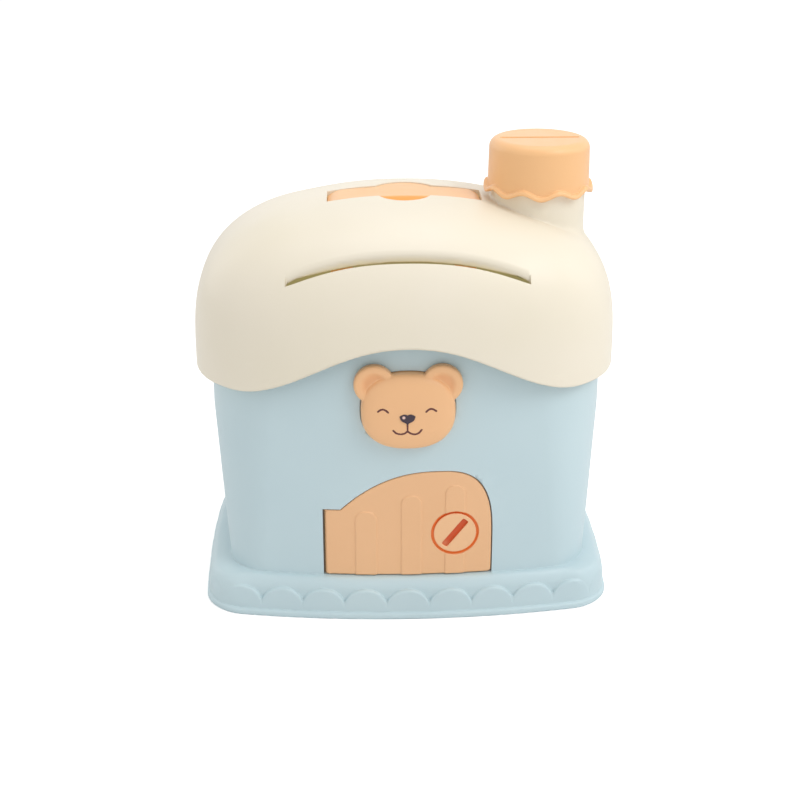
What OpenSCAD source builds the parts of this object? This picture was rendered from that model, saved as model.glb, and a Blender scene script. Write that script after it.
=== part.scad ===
// House-shaped coin bank: blue walls, cream roof, lifting handle, coin door and bear head.
// Millimetres. +X is right, the front faces -Y, +Z is up, origin under the middle at the ground.

/* [Walls] */
// Width of the house walls
wall_w = 188; // [176:1:226]
// Depth of the house walls at mid width
wall_d = 120; // [112:1:144]
// Height of the top edge of the walls
wall_top = 150; // [140:1:160]
// Thickness of the walls
wall_t = 2.5; // [2:0.1:3.2]
// Radius of the bow of the front and back walls
wall_bow = 400; // [330:5:900]
// Radius of the bow of the side walls
wall_side_bow = 1500; // [1000:10:4000]
// Radius of the upright corners at the top of the walls
wall_corner = 29; // [27:1:36]
// Radius of the upright corners at the foot of the walls
foot_corner = 18; // [12:1:30]

/* [Plinth] */
// How far the plinth stands out beyond the side walls
flare_x = 10; // [7:0.5:13]
// How far the plinth stands out beyond the front and back walls
flare_y = 8; // [6:0.5:10]
// Height of the plinth, where the walls start
plinth_h = 20.6; // [19:0.2:24]
// Radius of the bow of the plinth's front and back
plinth_bow = 460; // [380:5:900]
// Radius of the bow of the plinth's sides
plinth_side_bow = 600; // [400:10:4000]
// Radius of the plinth's corners
plinth_corner = 22; // [16:1:28]
// Height of the lip along the ground
lip_h = 3.4; // [2.6:0.1:5]
// How far the band above the lip is set back
lip_step = 1; // [0.6:0.1:1.6]
// Height of the band, up to the sloping shoulder
band_top = 16.2; // [13:0.2:18]
// Thickness of the base plate
base_t = 3; // [2.8:0.1:4]

/* [Roof] */
// How far the roof stands out beyond the side walls
over_x = 11; // [9.5:0.5:15]
// How far the roof stands out beyond the front and back walls
over_y = 12; // [10.5:0.5:15]
// Distance from the top of the walls down to where the dome starts to curve in
spring_drop = 29.3; // [27:0.1:31]
// Rise of the dome from where it starts to curve in
dome_h = 82.1; // [78:0.5:92]
// Roundness of the dome from side to side, 2 is an ellipse
dome_nx = 2.52; // [2.3:0.02:3]
// How far the roof stands out beyond the corners of the walls
corner_over = 4.98; // [4.5:0.01:7]
// Roundness of the dome in height
dome_nz = 3.5; // [3:0.05:4]
// Distance from the top of the walls down to the lowest part of the roof's edge
edge_drop = 31; // [29.5:0.5:38]
// How far the edge rises in the middle of the front and back
valley_rise = 25.8; // [10:0.2:27]
// Half the width of that rise
valley_half = 85; // [60:1:88]
// Thickness of the roof
roof_t = 2.5; // [2:0.1:3]
// Radius of the posts that carry the roof
post_r = 4.5; // [4:0.1:5]

/* [Card slot] */
// Length of the slot for notes and cards
card_len = 114; // [90:1:120]
// Width of the slot for notes and cards
card_w = 4.4; // [4.3:0.1:6]
// Distance of the slot behind the front of the roof
card_setback = 13.2; // [12:0.2:16]
// Height of the flange that hangs from the slot's rear edge
flange_h = 5.6; // [4:0.2:7]
// Thickness of that flange
flange_t = 1.6; // [1.2:0.1:2.4]

/* [Handle] */
// Length of the handle bar
bar_len = 75.4; // [62:0.2:76]
// Width of the handle bar
bar_w = 19.4; // [18:0.2:21]
// Thickness of the handle bar
bar_t = 4.8; // [4:0.1:5.5]
// Place of the bar from front to back
bar_y = -2; // [-4:0.5:0]
// Radius of the round middle of the bar and its finger scoop
scoop_r = 17.2; // [15:0.2:19]
// Gap round the bar
bar_gap = 0.4; // [0.3:0.05:0.6]
// Distance of a leg's middle from the end of the bar
leg_in = 6.7; // [5.5:0.1:9]
// Width of a leg
leg_w = 11; // [9:0.5:12]
// Thickness of a leg
leg_t = 5; // [4.5:0.1:6]
// Travel of the handle
lift = 22; // [15:0.5:24]
// Depth of the guide sleeves under the well
guide_h = 14; // [10:0.5:16]

/* [Chimney] */
// Distance of the chimney's middle from the side of the roof
chim_in = 39; // [37:0.5:42]
// Place of the chimney from front to back
chim_y = -2; // [-6:0.5:4]
// Outer radius of the chimney stub
stub_r = 23; // [22.5:0.1:24]
// Thickness of the stub
stub_t = 2.2; // [1.8:0.1:2.6]
// Height of the top of the cap above the roof
cap_rise = 26.2; // [24:0.2:38]
// Height of the middle of the cap's wavy lip above the roof
lip_rise = 2.8; // [1.4:0.2:5]
// Wall thickness of the cap
cap_t = 1.8; // [1.6:0.1:2.4]
// Radius of the cap's upper edge
cap_edge = 4.5; // [3.5:0.1:5]
// How far the wavy lip stands out
lip_out = 1.7; // [1.2:0.1:2.4]
// Height of the lip
cap_lip_h = 3.4; // [2.6:0.1:4]
// Half the height of the waves
wave_a = 1.6; // [0.8:0.1:2]
// Number of waves round the lip
waves = 9; // [7:1:12]
// Length of the coin slot
coin_len = 39.6; // [34:0.2:40]
// Width of the coin slot
coin_w = 4.4; // [4.3:0.1:5]

/* [Door] */
// Left edge of the door, left of the middle
door_left = 40.6; // [38:0.2:44]
// Right edge of the door, right of the middle
door_right = 41.8; // [40:0.2:46]
// Height of the door's lower edge
door_sill = 21.2; // [21:0.2:26]
// Height of the low step at the hinge side
step_z = 56; // [52:0.5:60]
// Width of that step
step_w = 6.8; // [6.4:0.1:9]
// Height of the top of the arch
arch_z = 77.4; // [74:0.2:82]
// Place of the top of the arch from side to side
arch_x = 15; // [10:0.5:18]
// Height of the arch's upright right edge above the sill
arch_spring = 18; // [12:0.5:22]
// Thickness of the door
door_t = 2.6; // [2.4:0.1:3]
// Gap round the door
door_gap = 0.5; // [0.4:0.05:0.8]
// Gap at the hinge edge
hinge_gap = 1.4; // [1.3:0.1:1.8]
// Width of a raised plank
plank_w = 11; // [8:0.5:13]
// How far the planks stand out
plank_out = 0.5; // [0.3:0.1:0.8]
// Distance from the middle of one plank to the next
plank_pitch = 21.8; // [19:0.1:24]
// Place of the middle plank from side to side
plank_x = 1.4; // [0:0.1:3]
// Height of the top of the left plank
plank_top_1 = 57.2; // [50:0.1:59]
// Height of the top of the middle plank
plank_top_2 = 65.2; // [58:0.1:67]
// Height of the top of the right plank
plank_top_3 = 69.7; // [62:0.1:71]
// Radius of the planks' upper corners
plank_corner = 4; // [2:0.1:4]
// Radius of the hinge pin
pin_r = 1.25; // [1:0.05:1.4]

/* [Lock] */
// Place of the lock from side to side
lock_x = 23.5; // [20:0.5:24]
// Height of the lock
lock_z = 43.8; // [42:0.2:46]
// Radius of the knob
knob_r = 10.6; // [9:0.1:12.8]
// Gap between the knob and the wall of its recess
knob_gap = 1.3; // [0.8:0.1:1.6]
// Radius of the knob's shaft
shaft_r = 4.5; // [4:0.1:5]
// Slope of the coin groove in the knob
groove_angle = 48; // [0:1:90]
// Length of the coin groove
groove_len = 17.3; // [14:0.1:18]
// Width of the coin groove
groove_w = 2.7; // [2:0.1:3.5]

/* [Bear] */
// Width of the face
face_w = 45.4; // [38:0.2:50]
// Height of the face
face_h = 38.6; // [33:0.2:42]
// Height of the middle of the face
face_z = 110.9; // [108:0.2:114]
// How far the face stands out from the wall
face_out = 7.5; // [5:0.1:9]
// Half the distance between the ears
ear_x = 16.2; // [14:0.2:18]
// Height of the ears above the middle of the face
ear_z = 13.7; // [12:0.2:16]
// Radius of the ears
ear_r = 9.8; // [8:0.1:10.5]
// Gap round the face in the wall
face_gap = 0.45; // [0.3:0.05:0.8]

/* [Fits and screws] */
// Radial clearance of a running fit
run_fit = 0.05; // [0.03:0.01:0.09]
// Gap between pieces that slide past each other
slide_gap = 0.3; // [0.3:0.05:0.5]
// Radius of the large screws
screw_r = 1.5; // [1.3:0.05:1.6]
// Radius of the small screws
small_r = 1.1; // [1:0.05:1.2]
// Radial clearance of a screw in the piece it clamps
pass_fit = 0.25; // [0.2:0.05:0.4]

/* [Hidden] */
$fn = 96;
eps = 0.01;

blue = "#bcd4da";
cream = "#f5ecd8";
peach = "#efbb88";
steel = "#b8bcc0";

// Outlines ------------------------------------------------------------------

// Centre of the corner circle that touches the front bow and the side bow from inside
function corner_at(hw, hd, rf, rs, rc) =
    let (f = [0, rf - hd], s = [hw - rs, 0], a = rf - rc, b = rs - rc,
         v = s - f, d = norm(v), m = (a * a - b * b + d * d) / (2 * d), h = sqrt(a * a - m * m))
    f + v * m / d + [v.y, -v.x] * (-h / d);

function arc(c, r, a0, a1, n) =
    [for (i = [0 : n - 1]) let (a = a0 + (a1 - a0) * i / n) c + r * [cos(a), sin(a)]];

// The quarter of the outline from the middle of the right side to the middle of the front
function quarter(hw, hd, rf, rs, rc) =
    let (c = corner_at(hw, hd, rf, rs, rc), f = [0, rf - hd], s = [hw - rs, 0],
         as = atan2(c.y - s.y, c.x - s.x), af = atan2(c.y - f.y, c.x - f.x))
    concat(arc(s, rs, 0, as, 2), arc(c, rc, as, af, 6), arc(f, rf, af, -90, 5));

function flip(p, sx, sy) = [for (q = p) [q.x * sx, q.y * sy]];
function back(p) = [for (i = [len(p) - 1 : -1 : 0]) p[i]];
function tail(p) = [for (i = [1 : len(p) - 1]) p[i]];

// A rectangle with bowed sides and round corners, the same number of points at any size
function bowed(hw, hd, rf, rs, rc) =
    let (q = quarter(hw, hd, rf, rs, rc), m = [[0, -hd]], r = tail(q))
    concat(back(concat(q, m)), flip(concat(r, m), 1, -1), back(flip(r, -1, -1)),
           [[-hw, 0]], flip(r, -1, 1));

wall_hw = wall_w / 2;
wall_hd = wall_d / 2;
plinth_hw = wall_hw + flare_x;
plinth_hd = wall_hd + flare_y;

function wall_ring(i, corner) =
    bowed(wall_hw - i, wall_hd - i, wall_bow - i, wall_side_bow - i, corner - i);
function plinth_ring(i) =
    bowed(plinth_hw - i, plinth_hd - i, plinth_bow - i, plinth_side_bow - i, plinth_corner - i);
// Ring that is a share f of the way from the plinth's outline to the foot of the walls
function between(i, f) =
    let (a = plinth_ring(i), b = wall_ring(i, foot_corner))
    [for (k = [0 : len(a) - 1]) a[k] * (1 - f) + b[k] * f];

// A closed solid through rings of equal length, each at its height
module loft(rings, heights) {
    n = len(rings[0]);
    m = len(rings);
    points = [for (j = [0 : m - 1]) for (p = rings[j]) [p.x, p.y, heights[j]]];
    sides = [for (j = [0 : m - 2]) for (i = [0 : n - 1]) let (k = (i + 1) % n)
        each [[j * n + i, (j + 1) * n + i, (j + 1) * n + k], [j * n + i, (j + 1) * n + k, j * n + k]]];
    polyhedron(concat(points), concat(sides, [[for (i = [0 : n - 1]) i]],
        [[for (i = [n - 1 : -1 : 0]) (m - 1) * n + i]]), convexity = 6);
}

// Roof surface ----------------------------------------------------------------

roof_hw = wall_hw + over_x;
roof_hd = wall_hd + over_y;
roof_spring = wall_top - spring_drop;
roof_top = roof_spring + dome_h;
edge_z = wall_top - edge_drop;
wall_centre = corner_at(wall_hw, wall_hd, wall_bow, wall_side_bow, wall_corner);
corner_reach = (wall_corner + corner_over) * cos(45);
// Roundness of the dome from front to back, so that it clears the corners of the walls
dome_ny = ln(1 - pow((wall_centre.x + corner_reach) / roof_hw, dome_nx))
    / ln((abs(wall_centre.y) + corner_reach) / roof_hd);
roof_n = 64;
roof_m = 11;

// Height of the roof's surface over a point, i deep below the outside
function roof_z(x, y, i) =
    let (w = 1 - pow(abs(x) / (roof_hw - i), dome_nx) - pow(abs(y) / (roof_hd - i), dome_ny))
    roof_spring + (dome_h - i) * pow(max(w, 0), 1 / dome_nz);

function sgn_pow(v, e) = sign(v) * pow(abs(v), e);
function swell(x) = abs(x) < valley_half ? (1 + cos(180 * pow(abs(x) / valley_half, 1.1))) / 2 : 0;
function edge_at(x) = edge_z + valley_rise * swell(x);

// Ring j of the dome: ring 0 is the roof's edge or lies at a level, the last one is just below the top
function dome_ring(i, j, level) = [for (k = [0 : roof_n - 1])
    let (t = 360 * k / roof_n,
         e = is_undef(level) ? edge_at(roof_hw * sgn_pow(cos(t), 2 / dome_nx)) : level,
         s0 = max(e - roof_spring, 0) / (dome_h - i),
         a0 = asin(pow(s0, dome_nz / 2)),
         a = a0 + (89 - a0) * pow(j / roof_m, 1.15),
         z = j == 0 ? e : roof_spring + (dome_h - i) * pow(sin(a), 2 / dome_nz),
         u = j == 0 && e < roof_spring ? 1 : pow(cos(a), 2))
    [(roof_hw - i) * sgn_pow(cos(t) * sqrt(u), 2 / dome_nx),
     (roof_hd - i) * sgn_pow(sin(t) * sqrt(u), 2 / dome_ny), z]];

// The roof as one closed skin between its outer surface and the one a thickness below
module dome_skin(t) {
    n = roof_n;
    m = roof_m + 1;
    outer = [for (j = [0 : roof_m]) each dome_ring(0, j)];
    inner = [for (j = [0 : roof_m]) each dome_ring(t, j)];
    points = concat(outer, inner, [[0, 0, roof_top], [0, 0, roof_top - t]]);
    o = m * n;
    top = 2 * o;
    faces = concat(
        [for (j = [0 : m - 2]) for (i = [0 : n - 1]) let (a = j * n + i, b = j * n + (i + 1) % n)
            each [[a, a + n, b + n], [a, b + n, b],
                  [o + a, o + b + n, o + a + n], [o + a, o + b, o + b + n]]],
        [for (i = [0 : n - 1]) let (k = (i + 1) % n) each [[i, k, o + k], [i, o + k, o + i]]],
        [for (i = [0 : n - 1]) let (k = (i + 1) % n, a = (m - 1) * n)
            each [[a + i, top, a + k], [o + a + i, o + a + k, top + 1]]]);
    polyhedron(points, faces, convexity = 6);
}

// The solid dome above the top of the walls, i deep below the outside
module dome_core(i) {
    rings = [for (j = [0 : roof_m]) dome_ring(i, j, wall_top)];
    loft(rings, [for (q = rings) q[0].z]);
}

// Base ---------------------------------------------------------------------------

boss_r = 4;
boss_top = plinth_h + 10;
boss_in = wall_t + boss_r - 1.2;
side_boss_x = wall_hw - boss_in;
end_boss_x = wall_hw - 32;
end_boss_y = -front_y(end_boss_x) - boss_in;
base_holes = [[side_boss_x, 0], [-side_boss_x, 0], [end_boss_x, end_boss_y], [-end_boss_x, end_boss_y],
              [end_boss_x, -end_boss_y], [-end_boss_x, -end_boss_y]];
head_h = 1.8;
head_r = 2 * screw_r - 0.1;
small_head_r = 2 * small_r;
small_head_h = 1.3;
head_gap = 0.3;
counterbore = head_h + 0.2;
base_screw_len = 12;
pilot_extra = 1;

// A pan-head screw with its head's underside at the origin and its point at +Z
module screw(r, hr, hh, len) {
    rotate_extrude() polygon([[0, -hh], [hr * 0.75, -hh], [hr, -hh * 0.5], [hr, 0],
        [r, 0], [r, len - r], [r / 7, len], [0, len]]);
}

module at_all(places, z) {
    for (p = places) translate([p.x, p.y, z]) children();
}

module base_plate() color(blue) difference() {
    linear_extrude(base_t) polygon(plinth_ring(wall_t + lip_step + slide_gap));
    at_all(base_holes, -eps) cylinder(r = head_r + head_gap, h = counterbore + eps);
    at_all(base_holes, 0) cylinder(r = screw_r + pass_fit, h = base_t + 1);
}

module base_screws() color(steel)
    at_all(base_holes, counterbore) screw(screw_r, head_r, head_h, base_screw_len);

// House body -----------------------------------------------------------------------

post_x = wall_hw - 19;
post_y = wall_hd - 18;
roof_lug_r = 15;
roof_screw_len = 13;
posts = [[post_x, post_y], [-post_x, post_y], [post_x, -post_y], [-post_x, -post_y]];
lug_t = 3.5;

// Front surface of the wall at a place from side to side
function front_y(x) = -wall_hd + wall_bow - sqrt(wall_bow * wall_bow - x * x);

// The slab of the front wall from one depth below its outer surface to another
module front_slab(d0, d1) intersection() {
    translate([-wall_hw, -wall_hd - cut_out, 0]) cube([wall_w, cut_in + cut_out, wall_top]);
    translate([0, wall_bow - wall_hd, 0]) difference() {
        cylinder(r = wall_bow - d0, h = wall_top, $fn = 720);
        translate([0, 0, -1]) cylinder(r = wall_bow - d1, h = wall_top + 2, $fn = 720);
    }
}

// The door's outline seen from the front, grown by a gap, and by its own gap at the hinge
function door_outline(g, gh) =
    let (x0 = -door_left - gh, x1 = step_w - door_left - g * 0.4, x2 = door_right + g,
         spring = door_sill + arch_spring, rise = arch_z + g - spring)
    concat([[x0, door_sill - g], [x0, step_z + g]],
        [for (i = [0 : 10]) let (x = x1 + (arch_x - x1) * i / 10)
            [x, arch_z + g - (arch_z - step_z) * pow((arch_x - x) / (arch_x - x1), 2.3)]],
        [for (i = [1 : 12]) let (a = 90 - 90 * i / 12)
            [arch_x + (x2 - arch_x) * pow(cos(a), 2 / 2.95), spring + rise * pow(sin(a), 2 / 2.95)]],
        [[x2, door_sill - g]]);

cut_in = 20;
cut_out = 6;

// A prism through the front wall
module through_front(points) translate([0, -wall_hd + cut_in, 0]) rotate([90, 0, 0])
    linear_extrude(cut_in + cut_out) polygon(points);

edge_in = 1.9;
pin_x = edge_in - door_left;
pin_in = 2.4;
pin_y = front_y(pin_x) + pin_in;
corner_r = norm([edge_in, pin_in]) + slide_gap;
lip_t = 1.8;
lip_in = 2;
lip_out_w = 4;
lip_back = door_t + slide_gap + lip_t;
lug_h = 4;
lug_w = 7;
lug_d = 5;
lug_floor = 1;
pin_play = 0.2;
lug_low = door_sill - door_gap - lug_h;
lug_high = step_z + door_gap;

face_n = 2.35;
function face_outline(g) = [for (i = [0 : 47]) let (a = 7.5 * i, e = 2 / face_n)
    [(face_w / 2 + g) * sgn_pow(cos(a), e), face_z + (face_h / 2 + g) * sgn_pow(sin(a), e)]];

// Rebate behind the door's edge, which stops the door and gives the lock its catch
module door_rebate() difference() {
    intersection() {
        front_slab(wall_t / 2, lip_back);
        through_front(door_outline(lip_out_w, lip_out_w + hinge_gap));
    }
    intersection() {
        front_slab(-1, door_t + slide_gap);
        through_front(door_outline(door_gap, hinge_gap));
    }
    through_front(door_outline(-lip_in, -edge_in - corner_r));
}

// Block that holds one end of the hinge pin
module pin_lug(z) translate([pin_x - lug_w / 2, pin_y - 1, z]) cube([lug_w, lug_d, lug_h]);

module body_outside() {
    f = [0, 0, 0, 0, 0.28, 0.62, 1];
    step = [0, 0, lip_step, lip_step, 0, 0, 0];
    h = plinth_h - band_top;
    z = [0, lip_h, lip_h + 0.8, band_top, band_top + 0.6 * h, band_top + 0.85 * h, plinth_h];
    rings = [for (j = [0 : len(f) - 1]) between(step[j], f[j])];
    loft(concat(rings, [wall_ring(0, wall_corner)]), concat(z, [wall_top]));
}

module body_inside() {
    f = [0, 0, 0.3, 1];
    step = [lip_step + wall_t, lip_step + wall_t, wall_t, wall_t];
    z = [-1, band_top - wall_t, band_top, plinth_h - 0.4];
    rings = [for (j = [0 : len(f) - 1]) between(step[j], f[j])];
    loft(concat(rings, [wall_ring(wall_t, wall_corner)]), concat(z, [wall_top + eps]));
}

module house_body() color(blue) difference() {
    union() {
        difference() {
            body_outside();
            body_inside();
            through_front(door_outline(door_gap, hinge_gap));
            through_front(face_outline(face_gap));
        }
        intersection() {
            linear_extrude(wall_top) polygon(wall_ring(wall_t / 2, wall_corner));
            union() {
                at_all(base_holes, base_t) cylinder(r = boss_r, h = boss_top - base_t);
                at_all(posts, wall_top - lug_t) cylinder(r = roof_lug_r, h = lug_t);
            }
        }
        door_rebate();
        pin_lug(lug_low);
        pin_lug(lug_high);
    }
    translate([pin_x, pin_y, door_sill - door_gap])
        cylinder(r = corner_r, h = step_z - door_sill + 2 * door_gap);
    at_all(base_holes, base_t - eps) cylinder(r = screw_r + run_fit, h = base_screw_len + pilot_extra);
    at_all(posts, wall_top - lug_t - 1) cylinder(r = screw_r + pass_fit, h = lug_t + 2);
    translate([pin_x, pin_y, lug_low + lug_floor])
        cylinder(r = pin_r + run_fit, h = lug_high - lug_low + lug_h);
}

// Roof --------------------------------------------------------------------------------

chim_x = roof_hw - chim_in;
cap_top = roof_top + cap_rise;
cap_lip_z = roof_top + lip_rise;
bar_top = roof_z(0, bar_y, 0) - 0.4;
bar_crown = 390;
bar_low = bar_top - bar_t - 1.4;
bar_under = 2;
leg_x = bar_len / 2 - leg_in;
scoop_y = bar_y - 0.5;
well_wall = 2;
well_floor_t = 2;
well_floor = bar_low - bar_under;
well_end = bar_len / 2 + bar_gap + well_wall;
well_side = bar_w / 2 + bar_gap + well_wall;
well_top = roof_z(well_end, bar_y - well_side, roof_t) - 0.8;
boss_wall = 1.9;
well_boss_r = small_r + boss_wall;
well_boss_h = 5.5;
well_screw_len = 5;
well_tab_t = 2;
well_tab_x = (scoop_r + bar_gap + well_wall + well_end) / 2;
well_tab_y = well_side + well_boss_r + 0.3;
well_tabs = [for (sx = [-1, 1]) for (sy = [-1, 1]) [sx * well_tab_x, bar_y + sy * well_tab_y]];
boss_low = roof_z(well_tab_x + well_boss_r, well_tab_y - bar_y + well_boss_r, roof_t) - well_boss_h;
stub_drop = 12;
stub_top = cap_top - stub_drop;
stub_tab_t = 2.5;
stub_tab_low = stub_top - stub_tab_t;
cap_boss_r = small_r + boss_wall;
cap_boss_y = stub_r - stub_t - cap_boss_r - 0.8;
stub_tab_y = cap_boss_y - cap_boss_r - 2;
slot_y = card_setback - roof_hd;
guide_slope = 35;
guide_t = 2;
guide_len = card_len + 4;
guide_y = front_y(guide_len / 2) + wall_t + 0.8;

// Outline of the bar's opening in the roof and of the well below it
module opening_outline(g) {
    translate([0, bar_y]) square([bar_len + 2 * g, bar_w + 2 * g], center = true);
    translate([0, scoop_y]) circle(r = scoop_r + g);
}

// Sloping plate that leads a card from the slot to behind the front wall
module card_guide() translate([0, guide_y, wall_top + 1]) rotate([guide_slope, 0, 0])
    translate([-guide_len / 2, -guide_t, 0]) cube([guide_len, guide_t, dome_h]);

// Flange that hangs from the slot's rear edge and follows the roof's curve
module slot_flange() difference() {
    translate([-card_len / 2 - 1, slot_y + card_w / 2, wall_top]) cube([card_len + 2, flange_t, dome_h]);
    translate([0, 0, -flange_h]) dome_core(0);
}

// What stands under the roof: the posts, the well's bosses, the card guide and the slot's flange
module roof_inside() intersection() {
    dome_core(roof_t / 2);
    union() {
        at_all(posts, wall_top) cylinder(r = post_r, h = dome_h);
        at_all(well_tabs, boss_low) cylinder(r = well_boss_r, h = dome_h);
        card_guide();
        slot_flange();
    }
}

module roof_shell() color(cream) difference() {
    union() {
        difference() {
            dome_skin(roof_t);
            translate([-card_len / 2, slot_y - card_w / 2, roof_spring]) cube([card_len, card_w, dome_h]);
        }
        roof_inside();
        difference() {
            translate([chim_x, chim_y, wall_top]) cylinder(r = stub_r, h = stub_top - wall_top);
            dome_core(roof_t / 2);
        }
    }
    translate([chim_x, chim_y, wall_top]) difference() {
        cylinder(r = stub_r - stub_t, h = stub_top);
        for (y = [stub_tab_y, -stub_tab_y - stub_r]) translate([-stub_r, y, stub_tab_low - wall_top])
            cube([2 * stub_r, stub_r, stub_tab_t]);
    }
    translate([0, 0, well_top]) linear_extrude(roof_top - well_top + 1) opening_outline(bar_gap);
    at_all(posts, wall_top - 1) cylinder(r = screw_r + run_fit, h = roof_screw_len - lug_t + 1 + pilot_extra);
    at_all(well_tabs, boss_low - 1) cylinder(r = small_r + run_fit, h = well_screw_len - well_tab_t + 1.4);
    for (s = [-1, 1]) translate([chim_x, chim_y + s * cap_boss_y, stub_tab_low - 1])
        cylinder(r = small_r + pass_fit, h = stub_tab_t + 2);
}

module roof_screws() color(steel)
    at_all(posts, wall_top - lug_t) screw(screw_r, head_r, head_h, roof_screw_len);

// Chimney cap ---------------------------------------------------------------------------

cap_r = stub_r + slide_gap + cap_t;
cap_top_t = 2.2;
cap_floor = cap_top - cap_top_t;
cap_fillet = 2;
cap_screw_len = 8;

module cap_profile() {
    r0 = cap_r - cap_t;
    r1 = cap_r - cap_edge;
    f = cap_fillet;
    polygon(concat([[0, cap_floor], [r0 - f, cap_floor]],
        [for (a = [75 : -15 : 0]) [r0 - f + f * cos(a), cap_floor - f + f * sin(a)]],
        [[r0, cap_lip_z], [cap_r, cap_lip_z]],
        [for (a = [0 : 10 : 90]) [r1 + cap_edge * cos(a), cap_top - cap_edge + cap_edge * sin(a)]],
        [[0, cap_top]]));
}

// The wavy lip round the cap's lower edge
module wavy_lip() {
    n = 90;
    r = [cap_r - cap_t / 2, cap_r + lip_out * 0.5, cap_r + lip_out, cap_r + lip_out * 0.7, cap_r - cap_t / 2];
    z = [-0.5, -0.5, -0.2, 0.25, 0.5];
    points = [for (k = [0 : n - 1]) for (j = [0 : 4])
        [r[j] * cos(360 * k / n), r[j] * sin(360 * k / n),
         cap_lip_z + z[j] * cap_lip_h - wave_a * cos(waves * (360 * k / n + 90))]];
    faces = [for (k = [0 : n - 1]) for (j = [0 : 4])
        let (p = 5 * k, q = 5 * ((k + 1) % n), i = (j + 1) % 5)
        each [[p + j, p + i, q + i], [p + j, q + i, q + j]]];
    polyhedron(points, faces, convexity = 6);
}

module chimney_cap() color(peach) translate([chim_x, chim_y, 0]) difference() {
    union() {
        rotate_extrude() cap_profile();
        wavy_lip();
        for (s = [-1, 1]) translate([0, s * cap_boss_y, stub_top])
            cylinder(r = cap_boss_r, h = cap_top - 1 - stub_top);
    }
    translate([-coin_len / 2, -coin_w / 2, cap_floor - 1]) cube([coin_len, coin_w, cap_top_t + 2]);
    for (s = [-1, 1]) translate([0, s * cap_boss_y, stub_top - 1])
        cylinder(r = small_r + run_fit, h = cap_screw_len);
}

module cap_screws() color(steel)
    for (s = [-1, 1]) translate([chim_x, chim_y + s * cap_boss_y, stub_tab_low])
        screw(small_r, small_head_r, small_head_h, cap_screw_len);

// Carry handle ------------------------------------------------------------------------------

stop_t = 3;
stop_out = 3;
stop_screw_len = 10;
guide_wall = 2;
guide_low = well_floor - well_floor_t - guide_h;
leg_low = guide_low - lift - slide_gap;
legs = [[-leg_x, bar_y], [leg_x, bar_y]];

module bar_outline() {
    translate([0, bar_y]) square([bar_len, bar_w], center = true);
    intersection() {
        translate([0, scoop_y]) circle(r = scoop_r);
        translate([-scoop_r, bar_y - bar_w / 2]) square([2 * scoop_r, 3 * scoop_r]);
    }
}

module carry_handle() color(peach) difference() {
    union() {
        intersection() {
            translate([0, 0, bar_low]) linear_extrude(bar_top - bar_low) bar_outline();
            translate([0, bar_len / 2, bar_top - bar_crown]) rotate([90, 0, 0])
                cylinder(r = bar_crown, h = bar_len, $fn = 720);
        }
        for (p = legs) translate([p.x - leg_w / 2, p.y - leg_t / 2, leg_low])
            cube([leg_w, leg_t, bar_low + 1 - leg_low]);
    }
    at_all(legs, leg_low - 1) cylinder(r = small_r + run_fit, h = stop_screw_len - stop_t + 1 + pilot_extra);
}

module handle_stops() color(peach) difference() {
    at_all(legs, leg_low - stop_t) translate([-leg_w / 2 - stop_out, -leg_t / 2 - stop_out, 0])
        cube([leg_w + 2 * stop_out, leg_t + 2 * stop_out, stop_t]);
    at_all(legs, leg_low - stop_t - 1) cylinder(r = small_r + pass_fit, h = stop_t + 2);
}

module stop_screws() color(steel)
    at_all(legs, leg_low - stop_t) screw(small_r, small_head_r, small_head_h, stop_screw_len);

// A screw tab that reaches under the well's long wall and is tied to it, side is 1 or -1
module well_tab(side) {
    reach = well_boss_r + 4;
    linear_extrude(well_tab_t) {
        circle(r = well_boss_r + 0.5);
        translate([-well_boss_r, side > 0 ? -reach : 0]) square([2 * well_boss_r, reach]);
    }
    translate([-well_boss_r, side > 0 ? -reach : reach - 3.5, 0])
        cube([2 * well_boss_r, 3.5, well_floor - boss_low + well_tab_t]);
}

// The well under the bar, with a guide sleeve for each leg and a tab for each screw
module handle_well() color(cream) difference() {
    union() {
        translate([0, 0, well_floor - well_floor_t])
            linear_extrude(well_top - well_floor + well_floor_t) opening_outline(bar_gap + well_wall);
        at_all(legs, guide_low) translate([-leg_w / 2 - guide_wall, -leg_t / 2 - guide_wall, 0])
            cube([leg_w + 2 * guide_wall, leg_t + 2 * guide_wall, guide_h + 1]);
        for (p = well_tabs) translate([p.x, p.y, boss_low - well_tab_t]) well_tab(sign(p.y - bar_y));
    }
    translate([0, 0, well_floor]) linear_extrude(roof_top - well_floor) opening_outline(bar_gap);
    at_all(legs, guide_low - 1) translate([-leg_w / 2 - slide_gap, -leg_t / 2 - slide_gap, 0])
        cube([leg_w + 2 * slide_gap, leg_t + 2 * slide_gap, guide_h + well_floor_t + 2]);
    at_all(well_tabs, boss_low - well_tab_t - 1) cylinder(r = small_r + pass_fit, h = well_tab_t + 2);
}

module well_screws() color(steel)
    at_all(well_tabs, boss_low - well_tab_t) screw(small_r, small_head_r, small_head_h, well_screw_len);

// Door and lock -----------------------------------------------------------------------------

head_t = 2;
ring_wall = 1.6;
ring_r = knob_r + knob_gap;
ring_depth = head_t + slide_gap;
pad_depth = ring_depth + 1.9;
hub_depth = pad_depth + 0.95;
cam_depth = hub_depth + slide_gap;
cam_t = 2;
cam_hub_r = 6.5;
lock_screw_len = cam_depth + cam_t - 2.6;
cam_reach = 19.6;
cam_w = 8;
hub_r = 7.5;
groove_depth = 1.3;
lock_tilt = asin(lock_x / wall_bow);

// Puts something on the lock's axis, with +Z running inwards from the door's surface
module on_lock() translate([lock_x, front_y(lock_x), lock_z]) rotate([-90, 0, lock_tilt]) children();

planks = [[plank_x - plank_pitch, plank_top_1], [plank_x, plank_top_2], [plank_x + plank_pitch, plank_top_3]];

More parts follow.
